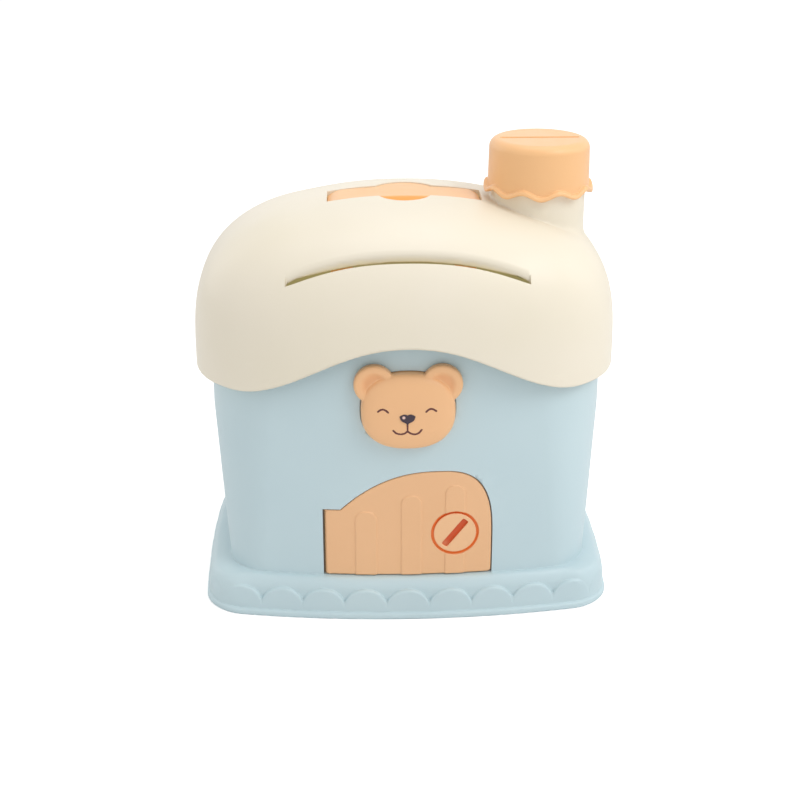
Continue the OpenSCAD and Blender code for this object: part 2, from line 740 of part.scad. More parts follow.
// A plank's upright outline with round upper corners
function plank_outline(p) =
    let (h = plank_w / 2, c = plank_corner, y = p.y - c)
    concat([[p.x - h, door_sill]],
        [for (a = [180 : -15 : 90]) [p.x - h + c + c * cos(a), y + c * sin(a)]],
        [for (a = [90 : -15 : 0]) [p.x + h - c + c * cos(a), y + c * sin(a)]],
        [[p.x + h, door_sill]]);

module plank(p) intersection() {
    front_slab(-plank_out, 1);
    through_front(plank_outline(p));
}

module door() color(peach) difference() {
    union() {
        intersection() {
            front_slab(0, door_t);
            through_front(door_outline(0, 0));
        }
        for (p = planks) plank(p);
        translate([pin_x, pin_y, door_sill]) cylinder(r = pin_in, h = step_z - door_sill);
        on_lock() translate([0, 0, 1]) cylinder(r = ring_r + ring_wall, h = pad_depth - 1);
        on_lock() translate([0, 0, 1]) cylinder(r = hub_r, h = hub_depth - 1);
    }
    translate([pin_x, pin_y, 0]) cylinder(r = pin_r + run_fit, h = step_z + 1);
    on_lock() translate([0, 0, -3]) cylinder(r = ring_r, h = 3 + ring_depth);
    on_lock() cylinder(r = shaft_r + run_fit, h = hub_depth + 1);
}

module door_hinge_pin() color(steel)
    translate([pin_x, pin_y, lug_low + lug_floor + pin_play])
        cylinder(r = pin_r, h = lug_high + lug_h - lug_low - lug_floor - 2 * pin_play);

module lock_knob() color(peach) on_lock() difference() {
    union() {
        cylinder(r = knob_r, h = head_t);
        cylinder(r = shaft_r, h = cam_depth);
    }
    straight = groove_len - groove_w;
    rotate(-groove_angle) translate([-straight / 2, 0, -1]) linear_extrude(groove_depth + 1) {
        translate([0, -groove_w / 2]) square([straight, groove_w]);
        circle(d = groove_w);
        translate([straight, 0]) circle(d = groove_w);
    }
    translate([0, 0, head_t]) cylinder(r = screw_r + run_fit, h = cam_depth);
}

module lock_cam() color(peach) on_lock() difference() {
    translate([0, 0, cam_depth]) union() {
        cylinder(r = cam_hub_r, h = cam_t);
        translate([-cam_w / 2, -cam_reach + cam_w / 2, 0]) cube([cam_w, cam_reach - cam_w / 2, cam_t]);
        translate([0, -cam_reach + cam_w / 2, 0]) cylinder(r = cam_w / 2, h = cam_t);
    }
    translate([0, 0, cam_depth - 1]) cylinder(r = screw_r + pass_fit, h = cam_t + 2);
}

module lock_screw() color(steel) on_lock() translate([0, 0, cam_depth + cam_t]) mirror([0, 0, 1])
    screw(screw_r, head_r, head_h, lock_screw_len);

// Bear head --------------------------------------------------------------------------------------

plate_t = 2;
plate_out = 2.5;
plate_y = front_y(face_w / 2 + plate_out) + wall_t + 0.1;
bear_hole_x = 11;
bear_holes = [[-bear_hole_x, face_z - 4], [bear_hole_x, face_z - 4]];
bear_screw_len = 7;
ear_t = 4.4;
ear_rim = 3.6;
ear_dish = 1;
ear_back = -wall_hd - slide_gap;
bear_ears = [[-ear_x, face_z + ear_z], [ear_x, face_z + ear_z]];

module at_wall(places, y) {
    for (p = places) translate([p.x, y, p.y]) rotate([90, 0, 0]) children();
}

// Front of the face: rings of the outline that shrink as they come forward
module face_dome() {
    n = 48;
    m = 6;
    ring = face_outline(0);
    points = concat([for (p = ring) [p.x, plate_y, p.y]],
        [for (j = [0 : m - 1]) let (a = 84 * j / m) for (p = ring)
            [p.x * pow(cos(a), 0.8), -wall_hd - 1 - (face_out - 1) * pow(sin(a), 0.8),
             face_z + (p.y - face_z) * pow(cos(a), 0.8)]],
        [[0, -wall_hd - face_out, face_z]]);
    top = n * (m + 1);
    polyhedron(points, concat([[for (k = [0 : n - 1]) k]],
        [for (j = [0 : m - 1]) for (k = [0 : n - 1]) let (q = (k + 1) % n, a = j * n)
            each [[a + k, a + n + q, a + q], [a + k, a + n + k, a + n + q]]],
        [for (k = [0 : n - 1]) [n * m + k, top, n * m + (k + 1) % n]]), convexity = 4);
}

module bear_head() color(peach) difference() {
    union() {
        face_dome();
        at_wall(bear_ears, ear_back) cylinder(r = ear_r, h = ear_t);
    }
    at_wall(bear_ears, ear_back - ear_t + ear_dish) cylinder(r = ear_r - ear_rim, h = 2 * ear_dish);
    at_wall(bear_holes, plate_y + 1) cylinder(r = screw_r + run_fit, h = bear_screw_len + 1);
}

module bear_backing_plate() color(blue) difference() {
    translate([-face_w / 2 - plate_out, plate_y, face_z - face_h / 2 - plate_out])
        cube([face_w + 2 * plate_out, plate_t, face_h + 2 * plate_out]);
    at_wall(bear_holes, plate_y + plate_t + 1) cylinder(r = screw_r + pass_fit, h = plate_t + 2);
}

module bear_screws() color(steel)
    at_wall(bear_holes, plate_y + plate_t) screw(screw_r, head_r, head_h, bear_screw_len + 1);

house_body();
base_plate();
base_screws();
roof_shell();
roof_screws();
chimney_cap();
cap_screws();
carry_handle();
handle_well();
well_screws();
handle_stops();
stop_screws();
door();
door_hinge_pin();
lock_knob();
lock_cam();
lock_screw();
bear_head();
bear_backing_plate();
bear_screws();
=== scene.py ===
"""House-shaped coin bank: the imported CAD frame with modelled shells, materials, floor, light and camera."""

import math

import bmesh
import bpy
import numpy as np
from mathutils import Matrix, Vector


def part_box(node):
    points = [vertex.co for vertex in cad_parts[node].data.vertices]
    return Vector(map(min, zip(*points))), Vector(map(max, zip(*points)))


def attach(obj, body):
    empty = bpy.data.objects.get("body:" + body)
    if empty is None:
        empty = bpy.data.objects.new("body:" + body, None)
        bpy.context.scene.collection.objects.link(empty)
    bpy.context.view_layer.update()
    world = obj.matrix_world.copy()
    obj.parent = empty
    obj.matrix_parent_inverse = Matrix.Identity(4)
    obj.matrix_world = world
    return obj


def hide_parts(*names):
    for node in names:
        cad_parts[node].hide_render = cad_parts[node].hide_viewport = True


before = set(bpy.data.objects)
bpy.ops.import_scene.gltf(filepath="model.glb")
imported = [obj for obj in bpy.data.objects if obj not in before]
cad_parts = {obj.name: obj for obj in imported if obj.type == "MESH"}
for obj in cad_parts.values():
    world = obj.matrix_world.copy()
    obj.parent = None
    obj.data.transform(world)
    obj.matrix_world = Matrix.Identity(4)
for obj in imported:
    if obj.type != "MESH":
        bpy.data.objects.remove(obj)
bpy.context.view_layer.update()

MM = 0.001


def span(node):
    """Lowest and highest corner of a CAD node in millimetres."""
    lo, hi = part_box(node)
    return np.array(lo) / MM, np.array(hi) / MM


# Sizes in millimetres -----------------------------------------------------------------
# +X is right, the front faces -Y, +Z is up. R is a radius, T a thickness, HW and HD half a width and depth,
# and N the power of a rounded outline, where 2 is an ellipse. Sizes that have to match the CAD model are read
# from its boxes.

house_hi = span("house_body")[1]
roof_hi = span("roof_shell")[1]
cap_lo, cap_hi = span("chimney_cap")
bar_lo, bar_hi = span("carry_handle")
face_lo, face_hi = span("bear_head")

# Walls: they are wider at the top by the draft, and stand a little to the right of the middle
WALL_TOP = house_hi[2]
WALL_FOOT = 19.6
PLINTH_HW = house_hi[0]
PLINTH_HD = house_hi[1]
FLARE_X = 10
FLARE_Y = 8
WALL_HW = PLINTH_HW - FLARE_X
WALL_HD = PLINTH_HD - FLARE_Y
WALL_T = 2.5
WALL_BOW = 400
WALL_SIDE_BOW = 1500
WALL_CORNER = 29
FOOT_CORNER = 22
WALL_X = 0.8
DRAFT = 0.076
DRAFT_Z = 56
DRAFT_MOST = 3.3
DRAFT_END = 10
DRAFT_FADE = 20
DRAFT_CORNER = 1.5
WALL_OUT = WALL_HW + DRAFT_MOST + WALL_X
# How far in from the walls' outer side, and from what height over what rise, their painted shade and glow
# start
INNER_SIDE = 1.3
GLOW_Z = 84
GLOW_RISE = 24

# Plinth: a lip, a band with scallops and a shoulder that rises to the walls
PLINTH_X = 0.38
PLINTH_BOW = 460
PLINTH_SIDE_BOW = 600
PLINTH_CORNER = 17
PLINTH_H = 20.6
PLINTH_CUT = 23.2
LIP_H = 3.3
LIP_R = 1.6
LIP_STEP = 1.6
BAND_TOP = 16.2
SHOULDER = PLINTH_H - BAND_TOP
SHOULDER_N = 2.6
SHOULDER_RUN = 9
SHOULDER_R = 4.5
SCALLOPS = 7.5
SCALLOP_SQUEEZE = 0.04
SCALLOP_R = 11.1
SCALLOP_Z = 4.45
SCALLOP_OUT = 1.8
SCALLOP_EDGE_R = 1.2
SCALLOP_DEEP = 9
CUSP_Z = 6.8
SCALLOP_END = 77
SCALLOP_FADE = 13

# Inside the house: bosses for the base's screws and lugs for the roof's posts
BOSS_IN = 5.3
BOSS_X = 62
BOSS_R = 4
BOSS_SPAN = (3, 31.4)
LUG_R = 15
LUG_T = 3.5

# Roof
ROOF_HW = roof_hi[0]
ROOF_HD = roof_hi[1]
SPRING = WALL_TOP - 29.3
DOME_H = 82.1
CROWN = 0.75
CROWN_HALF = 24
SAG = 0.7
SAG_X = 46
SAG_HALF = 16
DOME_NX = 2.52
DOME_NY = 2.82
DOME_NZ = 3.5
EDGE_Z = WALL_TOP - 31
VALLEY_RISE = 25.8
VALLEY_HALF = 85
VALLEY_N = 1.1
ROOF_T = 2.5
EDGE_T = 0.9
EDGE_T_REACH = 2.2
EDGE_R = 1.2
POST = (WALL_HW - 19, WALL_HD - 18)
POST_R = 4.5
CARD_HALF = 57
SLOT_FRONT = -60.6
SLOT_REAR = -57.1
SLOT_BOW = 0.5
SLOT_HOOK = 0.9
SLOT_MIDDLE = SLOT_REAR - 1.5
FLANGE_T = 1.9
FLANGE_H = 5.45
FLANGE_Y = 56.6
FLANGE_RISE = 2.6
# Where the roof's painted glow fades out, in front of the slot's flange and of the slot
FLANGE_GLOW = -54.6
SLOT_GLOW = -59
GUIDE_SLOPE = math.radians(35)
GUIDE_T = 2
WELL_TAB = (28.85, 14.7)
WELL_TAB_R = 3
WELL_TAB_Z = 190

# Handle
BAR_Y = -2
BAR_HALF = bar_hi[0]
BAR_W = 19.4
BAR_TOP = bar_hi[2]
BAR_LOW = BAR_TOP - 6.2
BAR_CROWN = 310
BAR_RISE = 0.6
BAR_DROOP = 2.6
BAR_DROOP_LEN = 7
BAR_GAP = 0.2
BAR_END_GAP = 0.1
SCOOP_R = 17.2
SCOOP_Y = BAR_Y - 0.5
FRONT_SCOOP_R = 13.3
FRONT_SCOOP_Y = -7.3
LEG_X = BAR_HALF - 6.7
LEG_W = 11
LEG_T = 5
LEG_LOW = bar_lo[2]
# How much of the painted shade and glow the handle's legs get
LEG_GLOW = 0.3

# Chimney
CHIM_X = (cap_lo[0] + cap_hi[0]) / 2
CHIM_Y = -2
STUB_R = 23
STUB_T = 2.2
STUB_TOP = roof_hi[2]
STUB_FOOT = 1.2
CAP_TOP = cap_hi[2]
CAP_R = 24.6
CAP_TAPER = 0.02
CAP_T = 1.8
CAP_TOP_T = 2.2
CAP_EDGE = 4.5
CAP_LIP_Z = CAP_TOP - 23.4
CAP_LIP_OUT = 2.1
CAP_LIP_SPREAD = 0.9
CAP_LIP_T = 1.1
CAP_BOSS_Y = 17
CAP_BOSS_R = 3
WAVE_A = 1.35
WAVE_TURN = 0.06
WAVES = 9
COIN_HALF = 19.8
COIN_W = 4.4

# Door and lock
DOOR_LEFT = 40.6
DOOR_RIGHT = 41.8
DOOR_SILL = 21.2
STEP_Z = 56.7
STEP_W = 7.5
ARCH_Z = 77.4
ARCH_X = 15
ARCH_SPRING = DOOR_SILL + 18
ARCH_LEFT_N = 2.3
ARCH_RIGHT_N = 2.95
ARCH_STEPS = 24
DOOR_T = 2.6
DOOR_GAP = 0.5
HINGE_GAP = 1.4
PLANK_OUT = 0.5
PLANK_R = 4.6
PLANK_BELOW = 20
PLANKS = ((-20.7, 56.3, 10.8), (1.8, 65, 10.2), (23.4, 69.8, 9.8))
PIN = (1.9 - DOOR_LEFT, 2.4)
PIN_BORE_R = 1.3
PIN_LUG_HALF = 3.5
PIN_LUGS = ((16.7, 20.4), (56.8, 60.5))
SWING_R = 3.36
REBATE_OUT = (4, 5.4)
REBATE_IN = (-2, -5.3)
REBATE_DEEP = 4.7
LOCK = (23.5, 43.8)
KNOB_R = 10.6
KNOB_T = 2
RING_R = 11.9
RING_DEEP = 2.3
SHAFT_R = 4.5
HUB_R = 7.5
HUB_DEEP = 5.15
SCREW_BORE_R = 1.55
GROOVE_ANGLE = math.radians(51)
GROOVE_LEN = 17.3
GROOVE_W = 3.4
GROOVE_DEEP = 1.3

# Bear
FACE_Z = 110.9
FACE_HW = 22.7
FACE_HH = 19.3
FACE_R = 19.5
FACE_N = 2.35
FACE_GAP = 0.45
EAR = (16.2, FACE_Z + 13.7)
EAR_R = 9.8
EAR_T = 3.9
EAR_BACK = -WALL_HD - 0.3
EAR_FRONT = EAR_BACK - EAR_T
EAR_DISH = 1.3
# How much painted shade the ears' dished middles get
EAR_DISH_PAINTED_SHADE = 0.42
FACE_SWELL = 3.3
FACE_FRONT = -WALL_HD - 1
FACE_RISE = FACE_FRONT - face_lo[1]
PLATE_Y = face_hi[1]
NOSE = (-0.55, 109.0)
STROKE_W = 1.02


# Solids as distance fields --------------------------------------------------------------
# A field is a function of x, y and z in millimetres that is negative inside the solid.


def both(a, b, r=0.0):
    """Intersection of two fields, with its edge rounded to radius r."""
    return np.minimum(np.maximum(a, b), -r) + np.hypot(np.maximum(a + r, 0), np.maximum(b + r, 0))


def either(a, b, r=0.0):
    """Union of two fields, with a fillet of radius r."""
    return -both(-a, -b, r)


def without(a, b, r=0.0):
    """Field a with b cut away, and the new edge rounded to radius r."""
    return both(a, -b, r)


def rect(x, y, hx, hy, r=0.0):
    """Rectangle round the origin with round corners."""
    return both(np.abs(x) - hx, np.abs(y) - hy, r)


def slab(v, low, high):
    """What lies between two heights."""
    return np.maximum(low - v, v - high)


def ease(t):
    """Smooth step from 0 to 1."""
    t = np.clip(t, 0, 1)
    return t * t * (3 - 2 * t)


def polygon(points, x, y):
    """Signed distance to a closed polygon."""
    px, py = np.array(points, float).T
    qx, qy = np.roll(px, -1), np.roll(py, -1)
    best = np.full(np.broadcast(x, y).shape, 1e9)
    inside = np.zeros(best.shape, bool)
    for ax, ay, bx, by in zip(px, py, qx, qy):
        ex, ey = bx - ax, by - ay
        wx, wy = x - ax, y - ay
        t = np.clip((wx * ex + wy * ey) / (ex * ex + ey * ey), 0, 1)
        best = np.minimum(best, (wx - ex * t) ** 2 + (wy - ey * t) ** 2)
        if ay != by:
            inside ^= ((ay > y) != (by > y)) & (x < ax + ex * (y - ay) / ey)
    return np.where(inside, -1, 1) * np.sqrt(best)


def bowed(x, y, hw, hd, front_bow, side_bow, corner):
    """Rectangle with bowed sides and round corners."""
    front = np.hypot(x, np.abs(y) + front_bow - hd) - front_bow
    side = np.hypot(np.abs(x) + side_bow - hw, y) - side_bow
    return both(front, side, corner)


def along(x, y):
    """Distance along the plinth's outline from the middle of the front or back, and a quarter's length."""
    f = PLINTH_HD - PLINTH_BOW
    s = PLINTH_HW - PLINTH_SIDE_BOW
    a, b, d = PLINTH_BOW - PLINTH_CORNER, PLINTH_SIDE_BOW - PLINTH_CORNER, math.hypot(s, f)
    m = (a * a - b * b + d * d) / (2 * d)
    h = math.sqrt(a * a - m * m)
    cx, cy = s * m / d - f * h / d, f - f * m / d - s * h / d
    front, side = math.atan2(cx, cy - f), math.atan2(cy, cx - s)
    at_front = np.arctan2(np.abs(x), np.abs(y) - f)
    at_side = np.arctan2(np.abs(y), np.abs(x) - s)
    at_corner = np.arctan2(np.abs(x) - cx, np.abs(y) - cy)
    bend = PLINTH_BOW * front
    total = bend + PLINTH_CORNER * (math.pi / 2 - front - side) + PLINTH_SIDE_BOW * side
    round_corner = np.where(at_side < side, total - PLINTH_SIDE_BOW * at_side,
                            bend + PLINTH_CORNER * (at_corner - front))
    return np.where(at_front < front, PLINTH_BOW * at_front, round_corner), total


# Meshing ----------------------------------------------------------------------------------

# The cutters reach from one to the other of these places, through a wall or the roof
FRONT_CUT = (-70, -40)
SLOT_CUT = (150, 200)
BAR_CUT = (190, 215)

# How many steps or points the outlines have
ARC_STEPS = 28
SLOT_POINTS = 77
FACE_POINTS = 96

# The grid is worked out in blocks of this many lines each way, and only in those that come near the surface
BLOCK = 10
BLOCKS_AT_ONCE = 60
NEAR_SLOPE = 1.25
NEAR_MM = 1.5
SHARP_ANGLE = math.radians(55)


def sample(field, axes):
    """Values of a field on a grid, worked out only near the surface."""
    counts = [-(-len(a) // BLOCK) for a in axes]
    full = [np.append(a, a[-1] + (a[-1] - a[-2]) * np.arange(1, c * BLOCK - len(a) + 1))
            for a, c in zip(axes, counts)]
    parts = [a.reshape(-1, BLOCK) for a in full]
    mid = [(p[:, 0] + p[:, -1]) / 2 for p in parts]
    half = [(p[:, -1] - p[:, 0]) / 2 + (p[:, 1] - p[:, 0]) for p in parts]
    coarse = np.broadcast_to(field(mid[0][:, None, None], mid[1][None, :, None], mid[2][None, None, :]),
                             counts)
    reach = np.sqrt(half[0][:, None, None] ** 2 + half[1][None, :, None] ** 2 + half[2][None, None, :] ** 2)
    near = np.argwhere(np.abs(coarse) < reach * NEAR_SLOPE + NEAR_MM)
    values = np.repeat(coarse[:, :, :, None], BLOCK ** 3, 3).astype(np.float32)
    for part in np.array_split(near, max(1, len(near) // BLOCKS_AT_ONCE)):
        i, j, k = part.T
        found = field(parts[0][i][:, :, None, None], parts[1][j][:, None, :, None],
                      parts[2][k][:, None, None, :])
        values[i, j, k] = np.broadcast_to(found, (len(part),) + (BLOCK,) * 3).reshape(len(part), -1)
    values = values.reshape(*counts, BLOCK, BLOCK, BLOCK).transpose(0, 3, 1, 4, 2, 5)
    values = values.reshape(*(c * BLOCK for c in counts))
    return values[: len(axes[0]), : len(axes[1]), : len(axes[2])]


def skin(field, axes):
    """Points and quads of the surface where a field is zero: one point per cell that it crosses."""
    v = sample(field, axes)
    inside = v < 0
    cell = np.zeros([n - 1 for n in v.shape], np.int8)
    corners = [(a, b, c) for a in (0, 1) for b in (0, 1) for c in (0, 1)]
    n0, n1, n2 = cell.shape
    for a, b, c in corners:
        cell += inside[a:a + n0, b:b + n1, c:c + n2]
    at = np.argwhere((cell > 0) & (cell < 8))
    number = np.full(cell.shape, -1, np.int32)
    number[tuple(at.T)] = np.arange(len(at))
    total = np.zeros((len(at), 3))
    count = np.zeros(len(at))
    for axis in range(3):
        for p in corners:
            if p[axis]:
                continue
            q = tuple(1 if d == axis else p[d] for d in range(3))
            i, j = at + p, at + q
            vi, vj = v[tuple(i.T)], v[tuple(j.T)]
            cross = (vi < 0) != (vj < 0)
            t = np.where(cross, vi / np.where(cross, vi - vj, 1), 0)
            for d in range(3):
                ci, cj = axes[d][i[:, d]], axes[d][j[:, d]]
                total[:, d] += np.where(cross, ci + (cj - ci) * t, 0)
            count += cross
    points = total / count[:, None]
    quads = []
    for axis in range(3):
        b, c = (axis + 1) % 3, (axis + 2) % 3
        low = [slice(None)] * 3
        high = [slice(None)] * 3
        low[axis], high[axis] = slice(None, -1), slice(1, None)
        edge = np.argwhere(inside[tuple(low)] != inside[tuple(high)])
        keep = (edge[:, b] > 0) & (edge[:, c] > 0)
        keep &= (edge[:, b] < v.shape[b] - 1) & (edge[:, c] < v.shape[c] - 1)
        edge = edge[keep]
        step_b, step_c = np.eye(3, dtype=int)[b], np.eye(3, dtype=int)[c]
        ring = [edge - step_b - step_c, edge - step_c, edge, edge - step_b]
        quad = np.stack([number[tuple(r.T)] for r in ring], 1)
        quads.append(np.where(inside[tuple(edge.T)][:, None], quad, quad[:, ::-1]))
    return points, np.concatenate(quads)


def slope_of(field, points, h=0.02):
    """Value and slope of a field at points."""
    x, y, z = points.T
    slope = np.stack([field(x + h, y, z) - field(x - h, y, z), field(x, y + h, z) - field(x, y - h, z),
                      field(x, y, z + h) - field(x, y, z - h)], 1) / (2 * h)
    return field(x, y, z), slope


def settle(field, points, reach):
    """Moves points onto the surface along the field's slope."""
    for _ in range(3):
        value, slope = slope_of(field, points)
        size = np.maximum((slope ** 2).sum(1), 0.05)
        points = points - np.clip(value / size, -reach, reach)[:, None] * slope
    return points


def lines(low, high, pitch, *finer):
    """Grid positions from low to high: a pitch, with finer stretches given as (from, to, pitch)."""
    def pitch_at(v):
        return min([pitch] + [p + 0.35 * max(a - v, v - b, 0) for a, b, p in finer])
    out = [low - 2 * pitch_at(low)]
    while out[-1] < high + 2 * pitch_at(high):
        out.append(out[-1] + pitch_at(out[-1]))
    return np.array(out)


def piece(name, field, axes, body, material, replaces=(), deep=None):
    """Makes a named piece from a field, gives it a material and lets it ride on a body. Its normals are the
    field's own slope, except at sharp edges, and an attribute marks from 0 to 1 where the material paints
    shade, a glow or a highlight, mostly in recesses."""
    points, quads = skin(field, axes)
    points = settle(field, points, 0.6 * max(np.diff(a).max() for a in axes))
    mesh = bpy.data.meshes.new(name)
    mesh.vertices.add(len(points))
    mesh.vertices.foreach_set("co", (points * MM).astype(np.float32).ravel())
    mesh.loops.add(quads.size)
    mesh.loops.foreach_set("vertex_index", quads.astype(np.int32).ravel())
    mesh.polygons.add(len(quads))
    mesh.polygons.foreach_set("loop_start", np.arange(0, quads.size, 4, dtype=np.int32))
    mesh.polygons.foreach_set("use_smooth", np.ones(len(quads), bool))
    mesh.update(calc_edges=True)
    mesh.validate()
    flat = np.zeros(len(mesh.vertices) * 3, np.float32)
    mesh.vertex_normals.foreach_get("vector", flat)
    flat = flat.reshape(-1, 3)
    _, slope = slope_of(field, points)
    slope /= np.maximum(np.linalg.norm(slope, axis=1), 1e-6)[:, None]
    true = (slope * flat).sum(1) > 0.8
    mesh.normals_split_custom_set_from_vertices(np.where(true[:, None], slope, flat).astype(np.float32))
    if deep is not None:
        layer = mesh.attributes.new("deep", "FLOAT", "POINT")
        layer.data.foreach_set("value", np.clip(deep(*points.T), 0, 1).astype(np.float32))
    mesh.materials.append(material)
    thing = bpy.data.objects.new(name, mesh)
    bpy.context.scene.collection.objects.link(thing)
    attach(thing, body)
    if replaces:
        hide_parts(*replaces)
    return thing


# Materials --------------------------------------------------------------------------------


def linear(*srgb):
    """Linear colour of an sRGB colour given from 0 to 255."""
    return tuple(c / 255 / 12.92 if c < 11 else ((c / 255 + 0.055) / 1.055) ** 2.4 for c in srgb) + (1.0,)


# Rubbed places on plastic are lighter, and clouds on steel darker, by this much of 255
RUB_LIGHTER = 9
STEEL_DARKER = 26


class Nodes:
    """A material's nodes, wired up by name."""

    def __init__(self, name):
        self.material = bpy.data.materials.new(name)
        self.material.use_nodes = True
        self.tree = self.material.node_tree
        self.shader = self.tree.nodes["Principled BSDF"]
        self.place = self.add("ShaderNodeTexCoord").outputs["Object"]

    def add(self, kind, **settings):
        node = self.tree.nodes.new(kind)
        for key, value in settings.items():
            setattr(node, key, value)
        return node

    def link(self, a, b):
        self.tree.links.new(a, b)

    def noise(self, scale, detail=3.0, roughness=0.55, stretch=(1, 1, 1)):
        place = self.add("ShaderNodeMapping")
        place.inputs["Scale"].default_value = stretch
        self.link(self.place, place.inputs["Vector"])
        node = self.add("ShaderNodeTexNoise")
        node.inputs["Scale"].default_value = scale
        node.inputs["Detail"].default_value = detail
        node.inputs["Roughness"].default_value = roughness
        self.link(place.outputs["Vector"], node.inputs["Vector"])
        return node.outputs["Fac"]

    def ranged(self, value, low, high, out_low, out_high):
        node = self.add("ShaderNodeMapRange")
        for key, number in zip(("From Min", "From Max", "To Min", "To Max"), (low, high, out_low, out_high)):
            node.inputs[key].default_value = number
        self.link(value, node.inputs["Value"])
        return node.outputs["Result"]

    def mix(self, fac, a, b):
        node = self.add("ShaderNodeMix", data_type="RGBA")
        self.link(fac, node.inputs["Factor"])
        for socket, value in ((node.inputs[6], a), (node.inputs[7], b)):
            if isinstance(value, tuple):
                socket.default_value = value
            else:
                self.link(value, socket)
        return node.outputs[2]

    def bump(self, height, strength, distance, under=None):
        node = self.add("ShaderNodeBump")
        node.inputs["Strength"].default_value = strength
        node.inputs["Distance"].default_value = distance
        self.link(height, node.inputs["Height"])
        if under is not None:
            self.link(under, node.inputs["Normal"])
        return node.outputs["Normal"]


# The well's front wall, which gets a painted olive shade and a painted glow, lies in front of this place in
# metres and faces the front by this much: none to full
WELL_FRONT_Y = (-0.008, -0.009)
WELL_FRONT_FACING = (-0.2, -0.4)


def recesses(n):
    """Where a modelled piece marks, from 0 to 1, the painted shade, glow or highlight of its material, mostly
    in its recesses.
    """
    return n.add("ShaderNodeAttribute", attribute_name="deep").outputs["Fac"]


def well_front_painted_light(n):
    """The outer side of the handle well's front wall, which stands inside the roof and gets the cream's
    painted olive shade and painted glow.
    """
    place, facing = n.add("ShaderNodeSeparateXYZ"), n.add("ShaderNodeSeparateXYZ")
    n.link(n.place, place.inputs[0])
    n.link(n.add("ShaderNodeNewGeometry").outputs["Normal"], facing.inputs[0])
    in_front = n.ranged(place.outputs["Y"], *WELL_FRONT_Y, 0, 1)
    faces_front = n.ranged(facing.outputs["Y"], *WELL_FRONT_FACING, 0, 1)
    mask = n.add("ShaderNodeMath", operation="MULTIPLY")
    n.link(in_front, mask.inputs[0])
    n.link(faces_front, mask.inputs[1])
    return mask.outputs[0]


def plastic(name, colour, shade, rough=0.36, coat=0.3, deep=None, through=None, where=recesses):
    """Moulded satin plastic: a slow drift from colour to shade, a fine grain and faint rubs. Where the mask
    is set, mostly in recesses, a second colour paints shade, or a highlight on the nose, and through is a
    painted glow: emission that stands in for the light that thin translucent walls pass on."""
    n = Nodes(name)
    drift = n.ranged(n.noise(scale=14, detail=2.0), 0.3, 0.7, 0, 1)
    base = n.mix(drift, linear(*colour), linear(*shade))
    rubs = n.ranged(n.noise(scale=55, detail=5.0, roughness=0.7, stretch=(1, 1, 2.4)), 0.62, 0.8, 0, 0.22)
    base = n.mix(rubs, base, linear(*(min(255, c + RUB_LIGHTER) for c in colour)))
    # Painted shade, or on the nose a painted highlight: a second colour where the mask is set
    if deep:
        mask = where(n)
        base = n.mix(mask, base, linear(*deep))
    n.link(base, n.shader.inputs["Base Color"])
    polish = n.ranged(n.noise(scale=90, detail=4.0, roughness=0.65), 0.3, 0.75, rough - 0.05, rough + 0.09)
    n.link(polish, n.shader.inputs["Roughness"])
    grain = n.bump(n.noise(scale=2600, detail=2.0), strength=0.25, distance=0.00002)
    waves = n.bump(n.noise(scale=38, detail=2.0), strength=0.3, distance=0.00025, under=grain)
    n.link(waves, n.shader.inputs["Normal"])
    n.shader.inputs["IOR"].default_value = 1.46
    n.shader.inputs["Specular IOR Level"].default_value = 0.42
    n.shader.inputs["Coat Weight"].default_value = coat
    n.shader.inputs["Coat Roughness"].default_value = 0.5
    # Painted glow: emission that stands in for light coming through the thin plastic
    if through:
        n.shader.inputs["Emission Color"].default_value = (*through, 1)
        if deep:
            n.link(mask, n.shader.inputs["Emission Strength"])
        else:
            n.shader.inputs["Emission Strength"].default_value = 1
    return n.material


def metal(name, colour):
    """Zinc-plated steel with a fine brushed grain."""
    n = Nodes(name)
    n.shader.inputs["Metallic"].default_value = 1.0
    cloud = n.noise(scale=300, detail=4.0)
    base = n.mix(cloud, linear(*colour), linear(*(c - STEEL_DARKER for c in colour)))
    n.link(base, n.shader.inputs["Base Color"])
    n.link(n.ranged(n.noise(scale=900, detail=4.0), 0.3, 0.7, 0.26, 0.42), n.shader.inputs["Roughness"])
    brushed = n.noise(scale=4000, detail=2.0, roughness=0.5, stretch=(1, 1, 8))
    n.link(n.bump(brushed, strength=0.3, distance=0.00003), n.shader.inputs["Normal"])
    return n.material


# Cream; on the roof's inner side its second colour is a painted olive shade and its emission a painted glow,
# standing in for light through the thin plastic
CREAM = {"colour": (240, 231, 213), "shade": (236, 227, 206), "deep": (200, 188, 140),
         "through": (0.33, 0.27, 0.125)}
# Blue; on the walls' upper inner side its second colour is a painted olive shade and its emission a painted
# glow
blue = plastic("blue_satin", (199, 219, 224), (194, 215, 221),
               deep=(188, 184, 146), through=(0.17, 0.145, 0.07))
# Painted shade: the door's rebate is the walls' blue, made darker and greyer with a faint painted glow, as it
# shows only in the door's gap
blue_painted_gap_shade = plastic("blue_painted_gap_shade", (166, 170, 172), (160, 165, 168), through=(0.028, 0.015, 0.012))
cream = plastic("cream_satin", **CREAM)
# The handle well's front wall gets the cream's painted olive shade and painted glow
cream_well = plastic("cream_well", **CREAM, where=well_front_painted_light)
# Peach; in the coin slot and the handle's finger scoop its second colour is a painted, more saturated orange
# shade and its emission a painted glow
peach = plastic("peach_satin", (249, 196, 139), (246, 191, 133), coat=0.6,
                deep=(250, 186, 112), through=(0.3, 0.14, 0.05))
# Door peach; in the lock's recess and faintly on the edges its second colour is a painted darker orange shade
# and its emission a painted glow
door_peach = plastic("door_satin", (241, 191, 144), (237, 186, 139),
                     deep=(214, 110, 52), through=(0.24, 0.075, 0.017))
